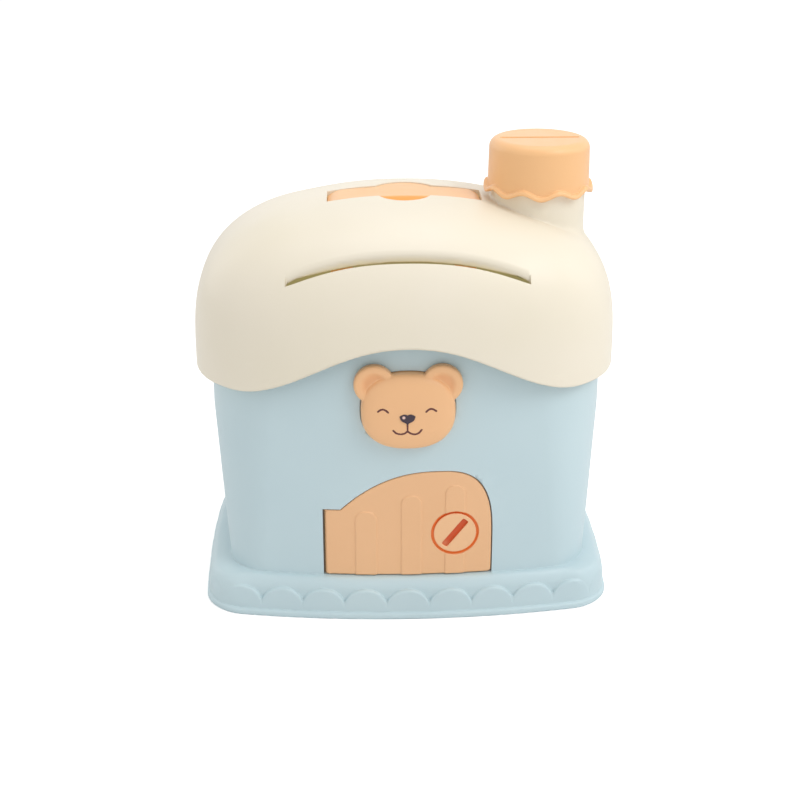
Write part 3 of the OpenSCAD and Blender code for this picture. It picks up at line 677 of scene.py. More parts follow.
# Knob peach; in the groove and on the side wall its second colour is a painted dark red shade and its
# emission a painted glow
knob_peach = plastic("knob_satin", (245, 196, 149), (241, 191, 144),
                     deep=(182, 60, 14), through=(0.16, 0.03, 0.005))
# Bear peach; in the ears' dished middles its second colour is a painted darker shade
bear_peach = plastic("bear_satin", (245, 193, 143), (242, 188, 137), deep=(226, 150, 96))
print_brown = plastic("bear_print", (104, 54, 50), (96, 48, 44), rough=0.45)
# Nose: dark print, with a painted highlight; its second colour and its emission make a small light spot
print_nose = plastic("bear_nose", (64, 48, 62), (56, 42, 56), rough=0.22,
                     deep=(222, 186, 176), through=(0.1, 0.075, 0.065))
steel = metal("zinc_steel", (186, 190, 194))

# The CAD's own nodes that show as they are
for material, nodes in ((blue, ("base_plate", "bear_backing_plate")), (cream_well, ("handle_well",)),
                        (peach, ("handle_stops",)), (door_peach, ("lock_cam",)),
                        (steel, ("base_screws", "roof_screws", "cap_screws", "well_screws", "stop_screws",
                                 "door_hinge_pin", "lock_screw", "bear_screws"))):
    for node in nodes:
        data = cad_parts[node].data
        data.materials.clear()
        data.materials.append(material)


# House ----------------------------------------------------------------------------------


def wall_side(x, y, z):
    """Distance outside the walls, which have some draft, and whose corners grow rounder towards the top."""
    up = np.clip((z - PLINTH_H) / (WALL_TOP - PLINTH_H), 0, 1)
    out = np.minimum(DRAFT * (np.maximum(z, PLINTH_H) - DRAFT_Z), DRAFT_MOST)
    out = out * ease((WALL_TOP - DRAFT_END - z) / DRAFT_FADE)
    corner = FOOT_CORNER + (WALL_CORNER - FOOT_CORNER) * up + DRAFT_CORNER * out
    return bowed(x - WALL_X, y, WALL_HW + out, WALL_HD, WALL_BOW, WALL_SIDE_BOW, corner)


def plinth_side(x, y):
    """Distance outside the plinth's outline at the ground."""
    return bowed(x - PLINTH_X, y, PLINTH_HW + PLINTH_X, PLINTH_HD,
                 PLINTH_BOW, PLINTH_SIDE_BOW, PLINTH_CORNER)


def depth(x, y):
    """Depth behind the front surface of the front wall."""
    return WALL_BOW - np.hypot(x, y + WALL_HD - WALL_BOW)


def front_y(x):
    """Place of the front wall's surface."""
    return WALL_BOW - WALL_HD - math.sqrt(WALL_BOW ** 2 - x * x)


def arch(gap, hinge):
    """The door's outline grown by a gap, and by its own gap at the hinge."""
    x0, x1, x2 = -DOOR_LEFT - hinge, STEP_W - DOOR_LEFT - gap * 0.4, DOOR_RIGHT + gap
    rise, n, power = ARCH_Z + gap - ARCH_SPRING, ARCH_STEPS, 2 / ARCH_RIGHT_N
    left = [(x1 + (ARCH_X - x1) * i / n, ARCH_Z + gap - (ARCH_Z - STEP_Z) * (1 - i / n) ** ARCH_LEFT_N)
            for i in range(n + 1)]
    right = [(ARCH_X + (x2 - ARCH_X) * math.cos(a) ** power, ARCH_SPRING + rise * math.sin(a) ** power)
             for a in [math.pi / 2 - math.pi / 2 * i / n for i in range(1, n + 1)]]
    return [(x0, DOOR_SILL - gap), (x0, STEP_Z + gap)] + left + right + [(x2, DOOR_SILL - gap)]


def bosses(x, y, z):
    """The six bosses that the base's screws go into."""
    ax, ay = np.abs(x), np.abs(y)
    side = np.hypot(ax - (WALL_HW - BOSS_IN), y)
    end = np.hypot(ax - BOSS_X, ay + front_y(BOSS_X) + BOSS_IN)
    return np.maximum(np.minimum(side, end) - BOSS_R, slab(z, *BOSS_SPAN))


def plinth(x, y, z):
    """Plinth with a round shoulder, a lip, and scallops that stand out of its front and back and sink into it
    before the corners."""
    p, w = plinth_side(x, y), wall_side(x, y, z)
    f = np.clip(-p / np.maximum(w - p, 0.5), 0, 1)
    height = BAND_TOP + SHOULDER * (1 - (1 - f) ** SHOULDER_N)
    steep = np.sqrt(1 + (SHOULDER_N * SHOULDER / SHOULDER_RUN * (1 - f) ** (SHOULDER_N - 1)) ** 2)
    s, quarter = along(x, y)
    s = s * (1 - SCALLOP_SQUEEZE * (1 - s / quarter))
    pitch = quarter / SCALLOPS
    disc = np.hypot(s - np.round(s / pitch) * pitch, z - SCALLOP_Z) - SCALLOP_R
    disc = np.minimum(disc, z - CUSP_Z)
    stand = 1 - ease((np.abs(x) - SCALLOP_END) / SCALLOP_FADE)
    rim = both(p + LIP_STEP, (z - height) / steep, SHOULDER_R)
    shoulder = both(p + LIP_STEP + SCALLOP_OUT * stand, (z - height) / steep, SHOULDER_R)
    petals = np.maximum(both(p + LIP_STEP, disc, SCALLOP_EDGE_R), -p - SCALLOP_DEEP)
    petals = np.maximum(petals, rim - 2 * stand)
    lip = both(both(p, z - LIP_H, LIP_R), -z, 0.5)
    low = either(either(shoulder, petals, 0.5), lip, 0.25)
    solid = np.maximum(either(low, w + 0.05, 0.35), -z)
    sill = np.maximum(slab(x, -DOOR_LEFT - HINGE_GAP, DOOR_RIGHT + DOOR_GAP), PLINTH_H + 0.02 - z)
    sill = np.maximum(sill, y)
    hollow = np.maximum(p + LIP_STEP + WALL_T + 1, (z - height + WALL_T + 1) / steep)
    hollow = np.minimum(w + WALL_T, hollow)
    return np.maximum(np.maximum(np.maximum(solid, -hollow), z - PLINTH_CUT), -sill)


def walls(x, y, z):
    """The upright walls."""
    w = wall_side(x, y, z)
    return np.maximum(np.maximum(w, -w - WALL_T), slab(z, WALL_FOOT, WALL_TOP))


def walls_deep(x, y, z):
    """The upper part of the walls' inner side, which gets a painted olive shade and a painted glow that stand
    in for the light through the roof.
    """
    return ease((-wall_side(x, y, z) - INNER_SIDE) / 0.5) * ease((z - GLOW_Z) / GLOW_RISE)


def behind_walls(x, y, z):
    """What stands inside the walls reaches this far into them."""
    return wall_side(x, y, z) + WALL_T / 2


def supports(x, y, z):
    """The bosses for the base's screws and the lugs that carry the roof."""
    lugs = np.hypot(np.abs(x) - POST[0], np.abs(y) - POST[1]) - LUG_R
    lugs = np.maximum(lugs, slab(z, WALL_TOP - LUG_T, WALL_TOP))
    return np.maximum(np.minimum(bosses(x, y, z), lugs), behind_walls(x, y, z))


def door_frame(x, y, z):
    """Rebate behind the door's edge, with the two blocks that hold the hinge pin."""
    d = depth(x, y)
    gap = polygon(arch(DOOR_GAP, HINGE_GAP), x, z)
    way = polygon(arch(*REBATE_IN), x, z)
    rebate = np.maximum(slab(d, WALL_T / 2, REBATE_DEEP), polygon(arch(*REBATE_OUT), x, z))
    rebate = np.maximum(rebate, -np.maximum(slab(d, -1, DOOR_T + 0.3), gap))
    rebate = np.maximum(rebate, -way)
    px, py = PIN[0], front_y(PIN[0]) + PIN[1]
    lugs = np.maximum(np.abs(x - px) - PIN_LUG_HALF, slab(y, py - 1, py + 4))
    lugs = np.maximum(lugs, np.minimum(slab(z, *PIN_LUGS[0]), slab(z, *PIN_LUGS[1])))
    swing = np.maximum(np.hypot(x - px, y - py) - SWING_R, slab(z, PLINTH_H, PIN_LUGS[1][0]))
    return np.maximum(np.maximum(np.minimum(rebate, lugs), -swing), behind_walls(x, y, z))


def prism(name, outline, start, end, axis="y"):
    """A cutter: an outline seen along an axis, made solid from one place on that axis to another."""
    n = len(outline)
    points = [(x * MM, v * MM, k * MM) if axis == "y" else (x * MM, k * MM, v * MM)
              for v in (start, end) for x, k in outline]
    faces = [tuple(range(n)), tuple(range(2 * n - 1, n - 1, -1))]
    faces += [(i, i + n, (i + 1) % n + n, (i + 1) % n) for i in range(n)]
    mesh = bpy.data.meshes.new(name)
    mesh.from_pydata(points, [], faces)
    mesh.update()
    work = bmesh.new()
    work.from_mesh(mesh)
    bmesh.ops.recalc_face_normals(work, faces=work.faces)
    work.to_mesh(mesh)
    work.free()
    thing = bpy.data.objects.new(name, mesh)
    bpy.context.scene.collection.objects.link(thing)
    return thing


def cut(thing, *cutters):
    """Takes cutters away from a piece, and leaves sharp edges where they cut."""
    for cutter in cutters:
        step = thing.modifiers.new("cut", "BOOLEAN")
        step.operation = "DIFFERENCE"
        step.solver = "MANIFOLD"
        step.object = cutter
    view = bpy.context.evaluated_depsgraph_get()
    mesh = bpy.data.meshes.new_from_object(thing.evaluated_get(view), preserve_all_data_layers=True,
                                           depsgraph=view)
    thing.modifiers.clear()
    thing.data = mesh
    for cutter in cutters:
        bpy.data.objects.remove(cutter)
    mesh.shade_smooth()
    mesh.set_sharp_from_angle(angle=SHARP_ANGLE)


def face_hole():
    """Outline of the hole for the bear's face, seen from the front."""
    turns = [2 * math.pi * i / FACE_POINTS for i in range(FACE_POINTS)]

    def reach(v):
        return math.copysign(abs(v) ** (2 / FACE_N), v)
    return [((FACE_HW + FACE_GAP) * reach(math.cos(a)), FACE_Z + (FACE_HH + FACE_GAP) * reach(math.sin(a)))
            for a in turns]


# The pieces' grids are finer where there is a small radius or an edge
house_axes = [lines(-WALL_OUT, WALL_OUT, 1.9, (-WALL_OUT, FOOT_CORNER - WALL_OUT, 1.2),
                    (WALL_OUT - FOOT_CORNER, WALL_OUT, 1.2)),
              lines(-WALL_HD, WALL_HD, 2.4, (-WALL_HD, FOOT_CORNER - WALL_HD, 1.2),
                    (WALL_HD - FOOT_CORNER, WALL_HD, 1.2)),
              lines(WALL_FOOT, WALL_TOP, 2.2, (WALL_FOOT, 21, 1.0), (WALL_TOP - 4, WALL_TOP, 1.0))]
house = piece("house_walls", walls, house_axes, "house", blue, ["house_body"], walls_deep)
cut(house, prism("door_cut", arch(DOOR_GAP, HINGE_GAP), *FRONT_CUT),
    prism("face_cut", face_hole(), *FRONT_CUT))
boss_axes = [lines(-92, 92, 1.2), lines(-60, 60, 1.2), lines(2, WALL_TOP, 2.4, (27, 33, 1), (144, 151, 0.9))]
piece("house_bosses", supports, boss_axes, "house", blue, ["house_body"])
plinth_axes = [lines(-PLINTH_HW, PLINTH_HW + 2 * PLINTH_X, 0.85), lines(-PLINTH_HD, PLINTH_HD, 0.85),
               lines(0, 24, 0.6)]
piece("house_plinth", plinth, plinth_axes, "house", blue, ["house_body"])
rebate_axes = [lines(-48, 48, 0.8), lines(-62, -48, 0.7), lines(16, 84, 0.8)]
# The rebate behind the door's gap wears the painted gap shade
piece("door_rebate", door_frame, rebate_axes, "house", blue_painted_gap_shade, ["house_body"])


# Roof -------------------------------------------------------------------------------------


def dome_height(x):
    """Height of the dome over its spring line: a little more in the middle, a little less beside it."""
    crown = CROWN * np.exp(-(x / CROWN_HALF) ** 2)
    return DOME_H + crown - SAG * np.exp(-((np.abs(x) - SAG_X) / SAG_HALF) ** 2)


def dome(x, y, z):
    """Distance outside the roof's dome."""
    ax, ay, az = np.abs(x) / ROOF_HW, np.abs(y) / ROOF_HD, np.maximum(z - SPRING, 0) / dome_height(x)
    total = ax ** DOME_NX + ay ** DOME_NY + az ** DOME_NZ - 1
    slope = np.sqrt((DOME_NX / ROOF_HW * ax ** (DOME_NX - 1)) ** 2
                    + (DOME_NY / ROOF_HD * ay ** (DOME_NY - 1)) ** 2
                    + (DOME_NZ / DOME_H * az ** (DOME_NZ - 1)) ** 2)
    return np.clip(total / np.maximum(slope, 1e-4), -60, 60)


def eave(x):
    """Height of the roof's lower edge."""
    t = np.minimum(np.abs(x) / VALLEY_HALF, 1) ** VALLEY_N
    return EDGE_Z + VALLEY_RISE * (1 + np.cos(math.pi * t)) / 2


def opening():
    """Outline of the handle's opening seen from above: the bar, a scoop in front and the bulge behind it."""
    hx, back, front = BAR_HALF + BAR_END_GAP, BAR_Y + BAR_W / 2 + BAR_GAP, BAR_Y - BAR_W / 2 - BAR_GAP

    def arc(r, middle, start, end):
        turns = [start + (end - start) * i / ARC_STEPS for i in range(ARC_STEPS + 1)]
        return [(r * math.cos(a), middle + r * math.sin(a)) for a in turns]
    low = math.asin((front - FRONT_SCOOP_Y) / FRONT_SCOOP_R)
    high = math.asin((back - SCOOP_Y) / (SCOOP_R + BAR_GAP))
    return ([(-hx, front)] + arc(FRONT_SCOOP_R, FRONT_SCOOP_Y, -math.pi - low, low)
            + [(hx, front), (hx, back)] + arc(SCOOP_R + BAR_GAP, SCOOP_Y, high, math.pi - high)
            + [(-hx, back)])


def card_slot():
    """Outline of the front part of the card slot seen from above."""
    front = [(t * CARD_HALF, SLOT_FRONT + SLOT_BOW * t ** 2 + SLOT_HOOK * t ** 8)
             for t in np.linspace(-1, 1, SLOT_POINTS)]
    return front + [(CARD_HALF, SLOT_REAR - 0.1), (-CARD_HALF, SLOT_REAR - 0.1)]


def slot_flange(x, y, z):
    """The flange that hangs from the rear edge of the card slot."""
    over = 1 - (np.abs(x) / ROOF_HW) ** DOME_NX - (FLANGE_Y / ROOF_HD) ** DOME_NY
    hang = SPRING + dome_height(x) * np.maximum(over, 0) ** (1 / DOME_NZ)
    hang = hang - FLANGE_H + FLANGE_RISE * (x / CARD_HALF) ** 6
    return both(both(slab(y, SLOT_REAR, SLOT_REAR + FLANGE_T), hang - z, 0.5), np.abs(x) - CARD_HALF - 1, 0.2)


def roof(x, y, z):
    """The roof's shell: dome, wavy eave and chimney stub, and the card slot's rounded rear edge with its
    flange. Only the slot's rear part is open here: the rest is cut out of the finished mesh."""
    d = dome(x, y, z)
    tilt = (eave(x + 0.1) - eave(x - 0.1)) / 0.2
    below = (eave(x) - z) / np.sqrt(1 + tilt ** 2)
    thick = ROOF_T + EDGE_T * np.exp(-np.maximum(-below, 0) / EDGE_T_REACH)
    shell = both(np.maximum(d, -d - thick), below, EDGE_R)
    q = np.hypot(x - CHIM_X, y - CHIM_Y)
    stub = np.maximum(both(q - STUB_R, z - STUB_TOP, 0.5), -d - STUB_FOOT)
    shell = either(shell, stub, 0.7 + 2.6 * ease((x - CHIM_X) / STUB_R))
    bore = np.maximum(q - STUB_R + STUB_T, WALL_TOP - z)
    shell = np.maximum(shell, -bore)
    front, rear = np.maximum(shell, y - SLOT_MIDDLE), both(shell, SLOT_REAR - y, EDGE_R)
    shell = np.minimum(np.minimum(front, rear), np.maximum(shell, CARD_HALF - 0.6 - np.abs(x)))
    return np.minimum(shell, np.maximum(slot_flange(x, y, z), d + 1.4))


def roof_inside(x, y, z):
    """What stands inside the roof: the card guide, the posts, the well's bosses and the cap's screw tabs."""
    q = np.hypot(x - CHIM_X, y - CHIM_Y)
    tabs = np.maximum(q - STUB_R + 0.8, 12 - np.abs(y - CHIM_Y))
    tabs = np.maximum(tabs, slab(z, STUB_TOP - 2.5, STUB_TOP - 0.2))
    posts = np.hypot(np.abs(x) - POST[0], np.abs(y) - POST[1]) - POST_R
    bosses_in = np.hypot(np.abs(x) - WELL_TAB[0], np.abs(y - BAR_Y) - WELL_TAB[1]) - WELL_TAB_R
    bosses_in = np.maximum(bosses_in, WELL_TAB_Z - z)
    lean = (y - GUIDE_Y) * math.cos(GUIDE_SLOPE) + (z - WALL_TOP - 1) * math.sin(GUIDE_SLOPE)
    guide = np.maximum(np.maximum(slab(lean, -GUIDE_T, 0), np.abs(x) - CARD_HALF - 2), WALL_TOP + 1 - z)
    inner = np.minimum(np.minimum(posts, bosses_in), np.maximum(guide, y))
    inner = np.maximum(inner, WALL_TOP - z)
    return np.minimum(np.maximum(inner, dome(x, y, z) + ROOF_T / 2), tabs)


def roof_deep(x, y, z):
    """The roof's inner side, which gets a painted olive shade and a painted glow that stand in for the light
    which comes through the plastic. It fades out in front of the card slot's flange."""
    d = dome(x, y, z)
    q = np.hypot(x - CHIM_X, y - CHIM_Y)
    glow = ease((-d - 1.7) / 0.5) * ease((z - EDGE_Z - 4) / 8) * (q > STUB_R + 3)
    return glow * (0.3 + 0.7 * ease((y - FLANGE_GLOW) / 1.5)) * ease((y - SLOT_GLOW) / 1.5)


GUIDE_Y = front_y(CARD_HALF + 2) + WALL_T + 0.8
roof_axes = [lines(-ROOF_HW, ROOF_HW, 1.5, (-59, -55, 0.8), (55, 59, 0.8), (34, 84, 1.2)),
             lines(-ROOF_HD, ROOF_HD, 1.5, (-59.5, -54.5, 0.5), (-27, -8, 1.1)),
             lines(EDGE_Z, STUB_TOP, 1.5, (EDGE_Z, 146, 1.1), (160, 180, 0.9))]
shell = piece("roof", roof, roof_axes, "house", cream, ["roof_shell"], roof_deep)
cut(shell, prism("slot_cut", card_slot(), *SLOT_CUT, "z"), prism("bar_cut", opening(), *BAR_CUT, "z"))
inside_axes = [lines(-84, 90, 1.1), lines(-65, 61, 0.9), lines(WALL_TOP - 1.2, STUB_TOP, 1.2)]
piece("roof_inside", roof_inside, inside_axes, "house", cream, ["roof_shell"], roof_deep)


# Chimney cap --------------------------------------------------------------------------------


def chimney_cap(x, y, z):
    """Cap with a round upper edge, a coin slot and a wavy lip."""
    x, y = x - CHIM_X, y - CHIM_Y
    q = np.hypot(x, y)
    side = q - CAP_R - CAP_TAPER * np.clip(CAP_TOP - z, 0, 24) + 0.25
    outer = both(side, z - CAP_TOP, CAP_EDGE)
    hollow = both(side + CAP_T, z - CAP_TOP + CAP_TOP_T, 2.0)
    wave = CAP_LIP_Z - WAVE_A * np.cos(WAVES * (np.arctan2(y, x) + math.pi / 2 + WAVE_TURN))
    shell = both(np.maximum(outer, -hollow), wave - 0.6 - z, 0.5)
    spread = CAP_LIP_SPREAD * ease((wave + 2.2 - z) / 3.2)
    lip = both(side - CAP_LIP_OUT + CAP_LIP_SPREAD - spread, -side - 1.0, 0.6)
    lip = both(lip, np.abs(z - wave) / 1.06 - CAP_LIP_T, 0.75)
    shell = either(shell, lip, 0.5)
    shell = np.maximum(shell, -np.maximum(side + CAP_T, z - CAP_TOP + 6))
    boss = np.hypot(x, np.abs(y) - CAP_BOSS_Y) - CAP_BOSS_R
    shell = np.minimum(shell, np.maximum(boss, slab(z, STUB_TOP, CAP_TOP - 1)))
    slot = np.maximum(rect(x, y, COIN_HALF - 0.7, COIN_W / 2 - 0.9, 0.8), CAP_TOP - 8 - z)
    return without(shell, slot, 0.45)


def cap_deep(x, y, z):
    """The sides of the coin slot, which get a painted, more saturated orange and a painted glow."""
    return ease((CAP_TOP - 0.3 - z) / 0.4) * (rect(x - CHIM_X, y - CHIM_Y, COIN_HALF, COIN_W / 2) < 0.2)


cap_axes = [lines(CHIM_X - 27, CHIM_X + 27, 0.6),
            lines(CHIM_Y - 27, CHIM_Y + 27, 0.6, (CHIM_Y - 3, CHIM_Y + 3, 0.45)),
            lines(202, CAP_TOP, 0.55)]
piece("chimney_cap_top", chimney_cap, cap_axes, "house", peach, ["chimney_cap"], cap_deep)


# Carry handle -------------------------------------------------------------------------------


def bar_height(x):
    """Height of the bar's top, which bends down at its ends."""
    droop = BAR_DROOP * np.maximum((np.abs(x) - BAR_HALF) / BAR_DROOP_LEN + 1, 0) ** 2
    return BAR_TOP + BAR_RISE - x * x / (2 * BAR_CROWN) - droop


def carry_handle(x, y, z):
    """Bar with a round bulge at the back, crowned along its length, on two flat legs."""
    plan = rect(x, y - BAR_Y, BAR_HALF, BAR_W / 2, 0.8)
    bulge = both(np.hypot(x, y - SCOOP_Y) - SCOOP_R, BAR_Y - y, 0.1)
    plan = np.minimum(plan, bulge)
    top = z - bar_height(x)
    bar = both(both(plan, top, 0.6), BAR_LOW - z, 0.5)
    leg = rect(np.abs(x) - LEG_X, y - BAR_Y, LEG_W / 2, LEG_T / 2, 1.0)
    leg = np.maximum(leg, slab(z, LEG_LOW, BAR_LOW + 1))
    return np.minimum(bar, leg)


def handle_deep(x, y, z):
    """The bar's front side in the finger scoop, and less so the legs, which get a painted, more saturated
    orange shade and a painted glow.
    """
    front = ease((BAR_Y - BAR_W / 2 + 0.7 - y) / 0.5) * ease((bar_height(x) - 0.1 - z) / 0.6)
    return np.maximum(front, LEG_GLOW * ease(BAR_LOW - z))


bar_axes = [lines(-BAR_HALF, BAR_HALF, 0.7), lines(BAR_Y - BAR_W / 2, SCOOP_Y + SCOOP_R, 0.6),
            lines(LEG_LOW, BAR_TOP + BAR_RISE, 1.6, (BAR_LOW, BAR_TOP + BAR_RISE, 0.5))]
piece("carry_bar", carry_handle, bar_axes, "handle", peach, ["carry_handle"], handle_deep)


# Door and lock ------------------------------------------------------------------------------

LOCK_TILT = math.asin(LOCK[0] / WALL_BOW)


def on_lock(x, y, z):
    """Coordinates on the lock's axis: to the right, upwards, and inwards from the door's surface."""
    x, y = x - LOCK[0], y - front_y(LOCK[0])
    c, s = math.cos(LOCK_TILT), math.sin(LOCK_TILT)
    return x * c + y * s, z - LOCK[1], y * c - x * s


def door(x, y, z):
    """Door leaf with three raised planks, its hinge barrel and the recess for the lock."""
    d = depth(x, y)
    outline = polygon(arch(-1.6, -1.6), x, z) - 1.6
    leaf = both(both(outline, -d, 0.7), d - DOOR_T, 0.3)
    plank = 1e9
    for centre, top, width in PLANKS:
        middle = (top + DOOR_SILL - PLANK_BELOW) / 2
        flat = rect(x - centre, z - middle, width / 2, top - middle, PLANK_R)
        plank = np.minimum(plank, flat)
    plank = both(np.maximum(both(plank, -d - PLANK_OUT, 0.5), DOOR_SILL + 0.1 - z), d - 1, 0.1)
    leaf = either(leaf, plank, 0.25)
    px, py = PIN[0], front_y(PIN[0]) + PIN[1]
    barrel = np.hypot(x - px, y - py)
    leaf = np.minimum(leaf, np.maximum(barrel - PIN[1], slab(z, DOOR_SILL, STEP_Z)))
    a, b, c = on_lock(x, y, z)
    q = np.hypot(a, b)
    leaf = np.minimum(leaf, np.maximum(q - RING_R - 1.6, slab(c, 1, 4.2)))
    leaf = np.minimum(leaf, np.maximum(q - HUB_R, slab(c, 1, HUB_DEEP)))
    leaf = without(leaf, np.maximum(q - RING_R, c - RING_DEEP), 0.25)
    leaf = np.maximum(leaf, -np.maximum(q - SHAFT_R - 0.05, c - HUB_DEEP - 1))
    return np.maximum(leaf, -np.maximum(barrel - PIN_BORE_R, z - STEP_Z - 1))


def door_deep(x, y, z):
    """Where the door gets a painted darker orange shade and a painted glow: the lock's recess below the
    door's surface, and faintly the door's edges and inner side.
    """
    a, b, c = on_lock(x, y, z)
    edges = 0.12 * ease((depth(x, y) - 0.5) / 0.5)
    return np.where(np.hypot(a, b) < RING_R + 0.25, ease((c - 0.15) / 0.5), edges)


def lock_knob(x, y, z):
    """Round knob with a coin groove, on its shaft."""
    a, b, c = on_lock(x, y, z)
    q = np.hypot(a, b)
    head = both(both(q - KNOB_R, -c, 0.4), c - KNOB_T, 0.2)
    solid = np.minimum(head, np.maximum(q - SHAFT_R, slab(c, 0.5, HUB_DEEP + 0.3)))
    t = GROOVE_ANGLE
    along_groove, across = a * math.cos(t) + b * math.sin(t), b * math.cos(t) - a * math.sin(t)
    groove = np.maximum(rect(along_groove, across, GROOVE_LEN / 2, GROOVE_W / 2, 0.9), c - GROOVE_DEEP)
    solid = without(solid, groove, 0.3)
    return np.maximum(solid, -np.maximum(q - SCREW_BORE_R, KNOB_T - c))


def knob_deep(x, y, z):
    """Where the groove and the knob's side wall are, which get a painted dark red shade and a painted glow.
    """
    a, b, c = on_lock(x, y, z)
    along_groove = a * math.cos(GROOVE_ANGLE) + b * math.sin(GROOVE_ANGLE)
    fade = 0.72 + 0.28 * ease((along_groove + GROOVE_LEN / 2) / 4)
    return ease((c - 0.2) / 0.5) * np.where(np.hypot(a, b) < KNOB_R - 0.6, fade, 1)


door_axes = [lines(-DOOR_LEFT, DOOR_RIGHT, 0.5), lines(-62, -50.5, 0.45), lines(DOOR_SILL, ARCH_Z, 0.5)]
piece("door_leaf", door, door_axes, "door", door_peach, ["door"], door_deep)
knob_axes = [lines(LOCK[0] - 11, LOCK[0] + 11, 0.33), lines(-61, -52, 0.33),
             lines(LOCK[1] - 11, LOCK[1] + 11, 0.33)]
piece("coin_knob", lock_knob, knob_axes, "lock", knob_peach, ["lock_knob"], knob_deep)


# Bear head --------------------------------------------------------------------------------------


def face(x, y, z):
    """The face: a low dome with straight sides that run back through the wall."""
    s = (np.abs(x) / FACE_HW) ** FACE_N + (np.abs(z - FACE_Z) / FACE_HH) ** FACE_N
    t = np.maximum(FACE_FRONT - y, 0) / FACE_RISE
    r = np.maximum(s, 1e-9) ** (1 / FACE_N)
    n = FACE_SWELL
    total = r ** n + t ** n - 1
    slope = np.sqrt((n * r ** (n - 1) / FACE_R) ** 2 + (n * t ** (n - 1) / FACE_RISE) ** 2)
    return np.clip(total / np.maximum(slope, 0.02), -9, 30)


def bear(x, y, z):
    """Bear head: face and two round ears with dished middles."""
    head = np.maximum(face(x, y, z), y - PLATE_Y)
    q = np.hypot(np.abs(x) - EAR[0], z - EAR[1])
    dish = EAR_DISH * (1 - ease((q - 3.6) / 3.6))
    ear = both(both(q - EAR_R, EAR_FRONT + dish - y, 1.5), y - EAR_BACK, 0.3)
    return either(head, ear, 0.35)


def bear_deep(x, y, z):
    """The dished middles of the ears, which get a painted darker shade."""
    q = np.hypot(np.abs(x) - EAR[0], z - EAR[1])
    return EAR_DISH_PAINTED_SHADE * (1 - ease((q - 3.2) / 3.6)) * ease((face(x, y, z) - 0.25) / 0.5)


bear_axes = [lines(-27, 27, 0.5), lines(face_lo[1], PLATE_Y, 0.45), lines(face_lo[2], face_hi[2], 0.5)]
piece("bear_face", bear, bear_axes, "house", bear_peach, ["bear_head"], bear_deep)


def stroke(x, z, points, width):
    """Distance outside a line of round strokes through points."""
    best = 1e9
    for (ax, az), (bx, bz) in zip(points, points[1:]):
        ex, ez = bx - ax, bz - az
        t = np.clip(((x - ax) * ex + (z - az) * ez) / (ex * ex + ez * ez), 0, 1)
        best = np.minimum(best, np.hypot(x - ax - ex * t, z - az - ez * t))
    return best - width / 2


def curve(points, n=8):
    """Points on a smooth curve through three or more points."""
    p = [np.array(q, float) for q in points]
    p = [2 * p[0] - p[1]] + p + [2 * p[-1] - p[-2]]
    out = []
    for a, b, c, d in zip(p, p[1:], p[2:], p[3:]):
        for i in range(n):
            t = i / n
            out.append(tuple(0.5 * (2 * b + (c - a) * t + (2 * a - 5 * b + 4 * c - d) * t ** 2
                                    + (3 * b - a - 3 * c + d) * t ** 3)))
    return out + [tuple(p[-2])]


EYES = [curve([(-14.5, 112.6), (-13.4, 113.5), (-12.1, 113.8), (-10.9, 113.3), (-9.7, 112.3)]),
        curve([(8.3, 112.4), (9.5, 113.5), (10.7, 113.9), (11.9, 113.5), (13.1, 112.7)])]
MOUTH = [curve([(-7.3, 102.9), (-5.8, 101.5), (-3.8, 101.0), (-1.9, 101.4), (-0.5, 102.5)]),
         curve([(-0.5, 102.5), (1.0, 101.4), (3.0, 100.9), (4.9, 101.6), (6.2, 103.2)])]


def marks(x, y, z):
    """Printed eyes, mouth and the line under the nose."""
    flat = stroke(x, z, [(NOSE[0], 106.5), (NOSE[0], 102.5)], 0.95)
    for line in EYES + MOUTH:
        flat = np.minimum(flat, stroke(x, z, line, STROKE_W))
    f = face(x, y, z)
    return both(np.maximum(flat, -0.1 - f), f - 0.07, 0.05)


def nose(x, y, z):
    """Small heart-shaped nose, slightly raised."""
    ax, v = np.abs(x - NOSE[0]), z - NOSE[1]
    lobe = np.hypot(ax - 1.45, v - 0.3) - 1.95
    tip = both((ax - 0.85 * v) / 1.312 - 2.1, v - 1.2, 0.5)
    heart = either(lobe, tip, 1.1)
    f = face(x, y, z)
    return both(both(heart, f - 0.45, 0.4), -0.15 - f, 0.02)


def nose_glint(x, y, z):
    """Painted highlight: a small light spot on the nose, which also glows faintly."""
    return 1 - ease((np.hypot(x - NOSE[0] + 1.75, z - NOSE[1] - 0.75) - 0.45) / 0.5)


mark_axes = [lines(-16, 14.5, 0.22), lines(-68, -65.8, 0.12), lines(100, 115, 0.22)]
piece("bear_marks", marks, mark_axes, "house", print_brown)
nose_axes = [lines(-5, 4, 0.2), lines(-68.4, -66, 0.15), lines(104, 113, 0.2)]
piece("bear_nose", nose, nose_axes, "house", print_nose, (), nose_glint)


# Floor, light and camera ------------------------------------------------------------------------

FLOOR_HALF = 8
FLOOR_Z = -0.0001

floor_mesh = bpy.data.meshes.new("floor")
floor_corners = [(x * FLOOR_HALF, y * FLOOR_HALF, FLOOR_Z) for x, y in ((-1, -1), (1, -1), (1, 1), (-1, 1))]
floor_mesh.from_pydata(floor_corners, [], [(0, 1, 2, 3)])
floor = bpy.data.objects.new("floor", floor_mesh)
bpy.context.scene.collection.objects.link(floor)
ground = Nodes("floor_white")
ground.shader.inputs["Base Color"].default_value = (0.86, 0.86, 0.86, 1)
ground.shader.inputs["Roughness"].default_value = 0.9
ground.shader.inputs["Specular IOR Level"].default_value = 0.0
paths = ground.add("ShaderNodeLightPath")
lift = ground.add("ShaderNodeEmission")
ground.link(ground.ranged(paths.outputs["Is Camera Ray"], 0, 1, 0, 0.45), lift.inputs["Strength"])
total = ground.add("ShaderNodeAddShader")
ground.link(ground.shader.outputs["BSDF"], total.inputs[0])
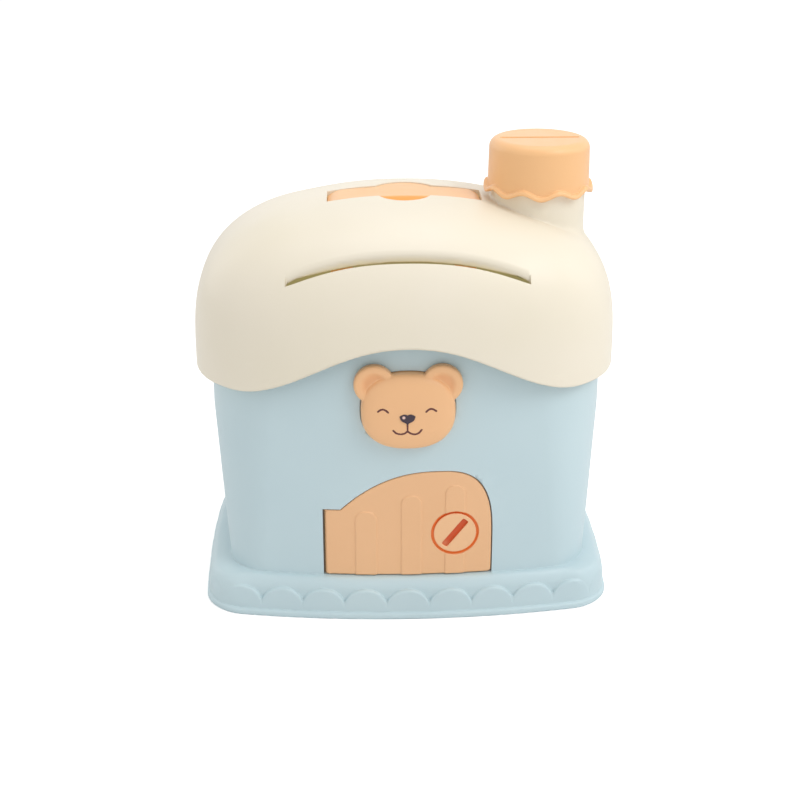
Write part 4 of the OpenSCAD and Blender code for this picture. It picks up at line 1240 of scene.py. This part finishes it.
ground.link(lift.outputs["Emission"], total.inputs[1])
ground.link(total.outputs["Shader"], ground.tree.nodes["Material Output"].inputs["Surface"])
floor_mesh.materials.append(ground.material)

world = bpy.data.worlds.new("studio")
bpy.context.scene.world = world
world.use_nodes = True
tree = world.node_tree
soft = tree.nodes["Background"]
soft.inputs["Color"].default_value = (1, 1, 1, 1)
soft.inputs["Strength"].default_value = 0.68
white = tree.nodes.new("ShaderNodeBackground")
white.inputs["Color"].default_value = (1, 1, 1, 1)
white.inputs["Strength"].default_value = 1.0
path = tree.nodes.new("ShaderNodeLightPath")
seen = path.outputs["Is Camera Ray"]
for ray in ("Is Glossy Ray", "Is Transmission Ray"):
    either_ray = tree.nodes.new("ShaderNodeMath")
    either_ray.operation = "MAXIMUM"
    tree.links.new(seen, either_ray.inputs[0])
    tree.links.new(path.outputs[ray], either_ray.inputs[1])
    seen = either_ray.outputs[0]
blend = tree.nodes.new("ShaderNodeMixShader")
tree.links.new(seen, blend.inputs["Fac"])
tree.links.new(soft.outputs[0], blend.inputs[1])
tree.links.new(white.outputs[0], blend.inputs[2])
tree.links.new(blend.outputs[0], tree.nodes["World Output"].inputs["Surface"])


def lamp(name, place, aim, size, watts):
    """Soft square lamp at a place, turned towards a point."""
    data = bpy.data.lights.new(name, "AREA")
    data.size = size
    data.energy = watts
    thing = bpy.data.objects.new(name, data)
    thing.location = place
    thing.rotation_euler = (Vector(aim) - Vector(place)).to_track_quat("-Z", "Y").to_euler()
    bpy.context.scene.collection.objects.link(thing)


# Name, place and size in metres, and watts
LAMPS = (("key", (1.0, -0.75, 1.35), 0.8, 8.7),
         ("right", (1.7, 0.1, 0.9), 0.8, 2.6),
         ("top", (0.1, 0.1, 1.6), 1.0, 4.5),
         ("left", (-1.3, -0.9, 0.8), 1.2, 0.8),
         ("left_back", (-1.4, 0.8, 0.6), 1.0, 2.1))
LAMP_AIM = (0, 0, 0.1)
for name, place, size, watts in LAMPS:
    lamp(name, place, LAMP_AIM, size, watts)

camera_data = bpy.data.cameras.new("camera")
camera_data.lens = 65.25
camera_data.sensor_width = 36
camera_data.clip_end = 50
camera = bpy.data.objects.new("camera", camera_data)
eye, target = Vector((-0.02552, -0.69952, 0.37680)), Vector((-0.001834, 0, 0.091165))
camera.location = eye
camera.rotation_euler = (target - eye).to_track_quat("-Z", "Y").to_euler()
bpy.context.scene.collection.objects.link(camera)
bpy.context.scene.camera = camera
bpy.context.scene.view_settings.view_transform = "Standard"
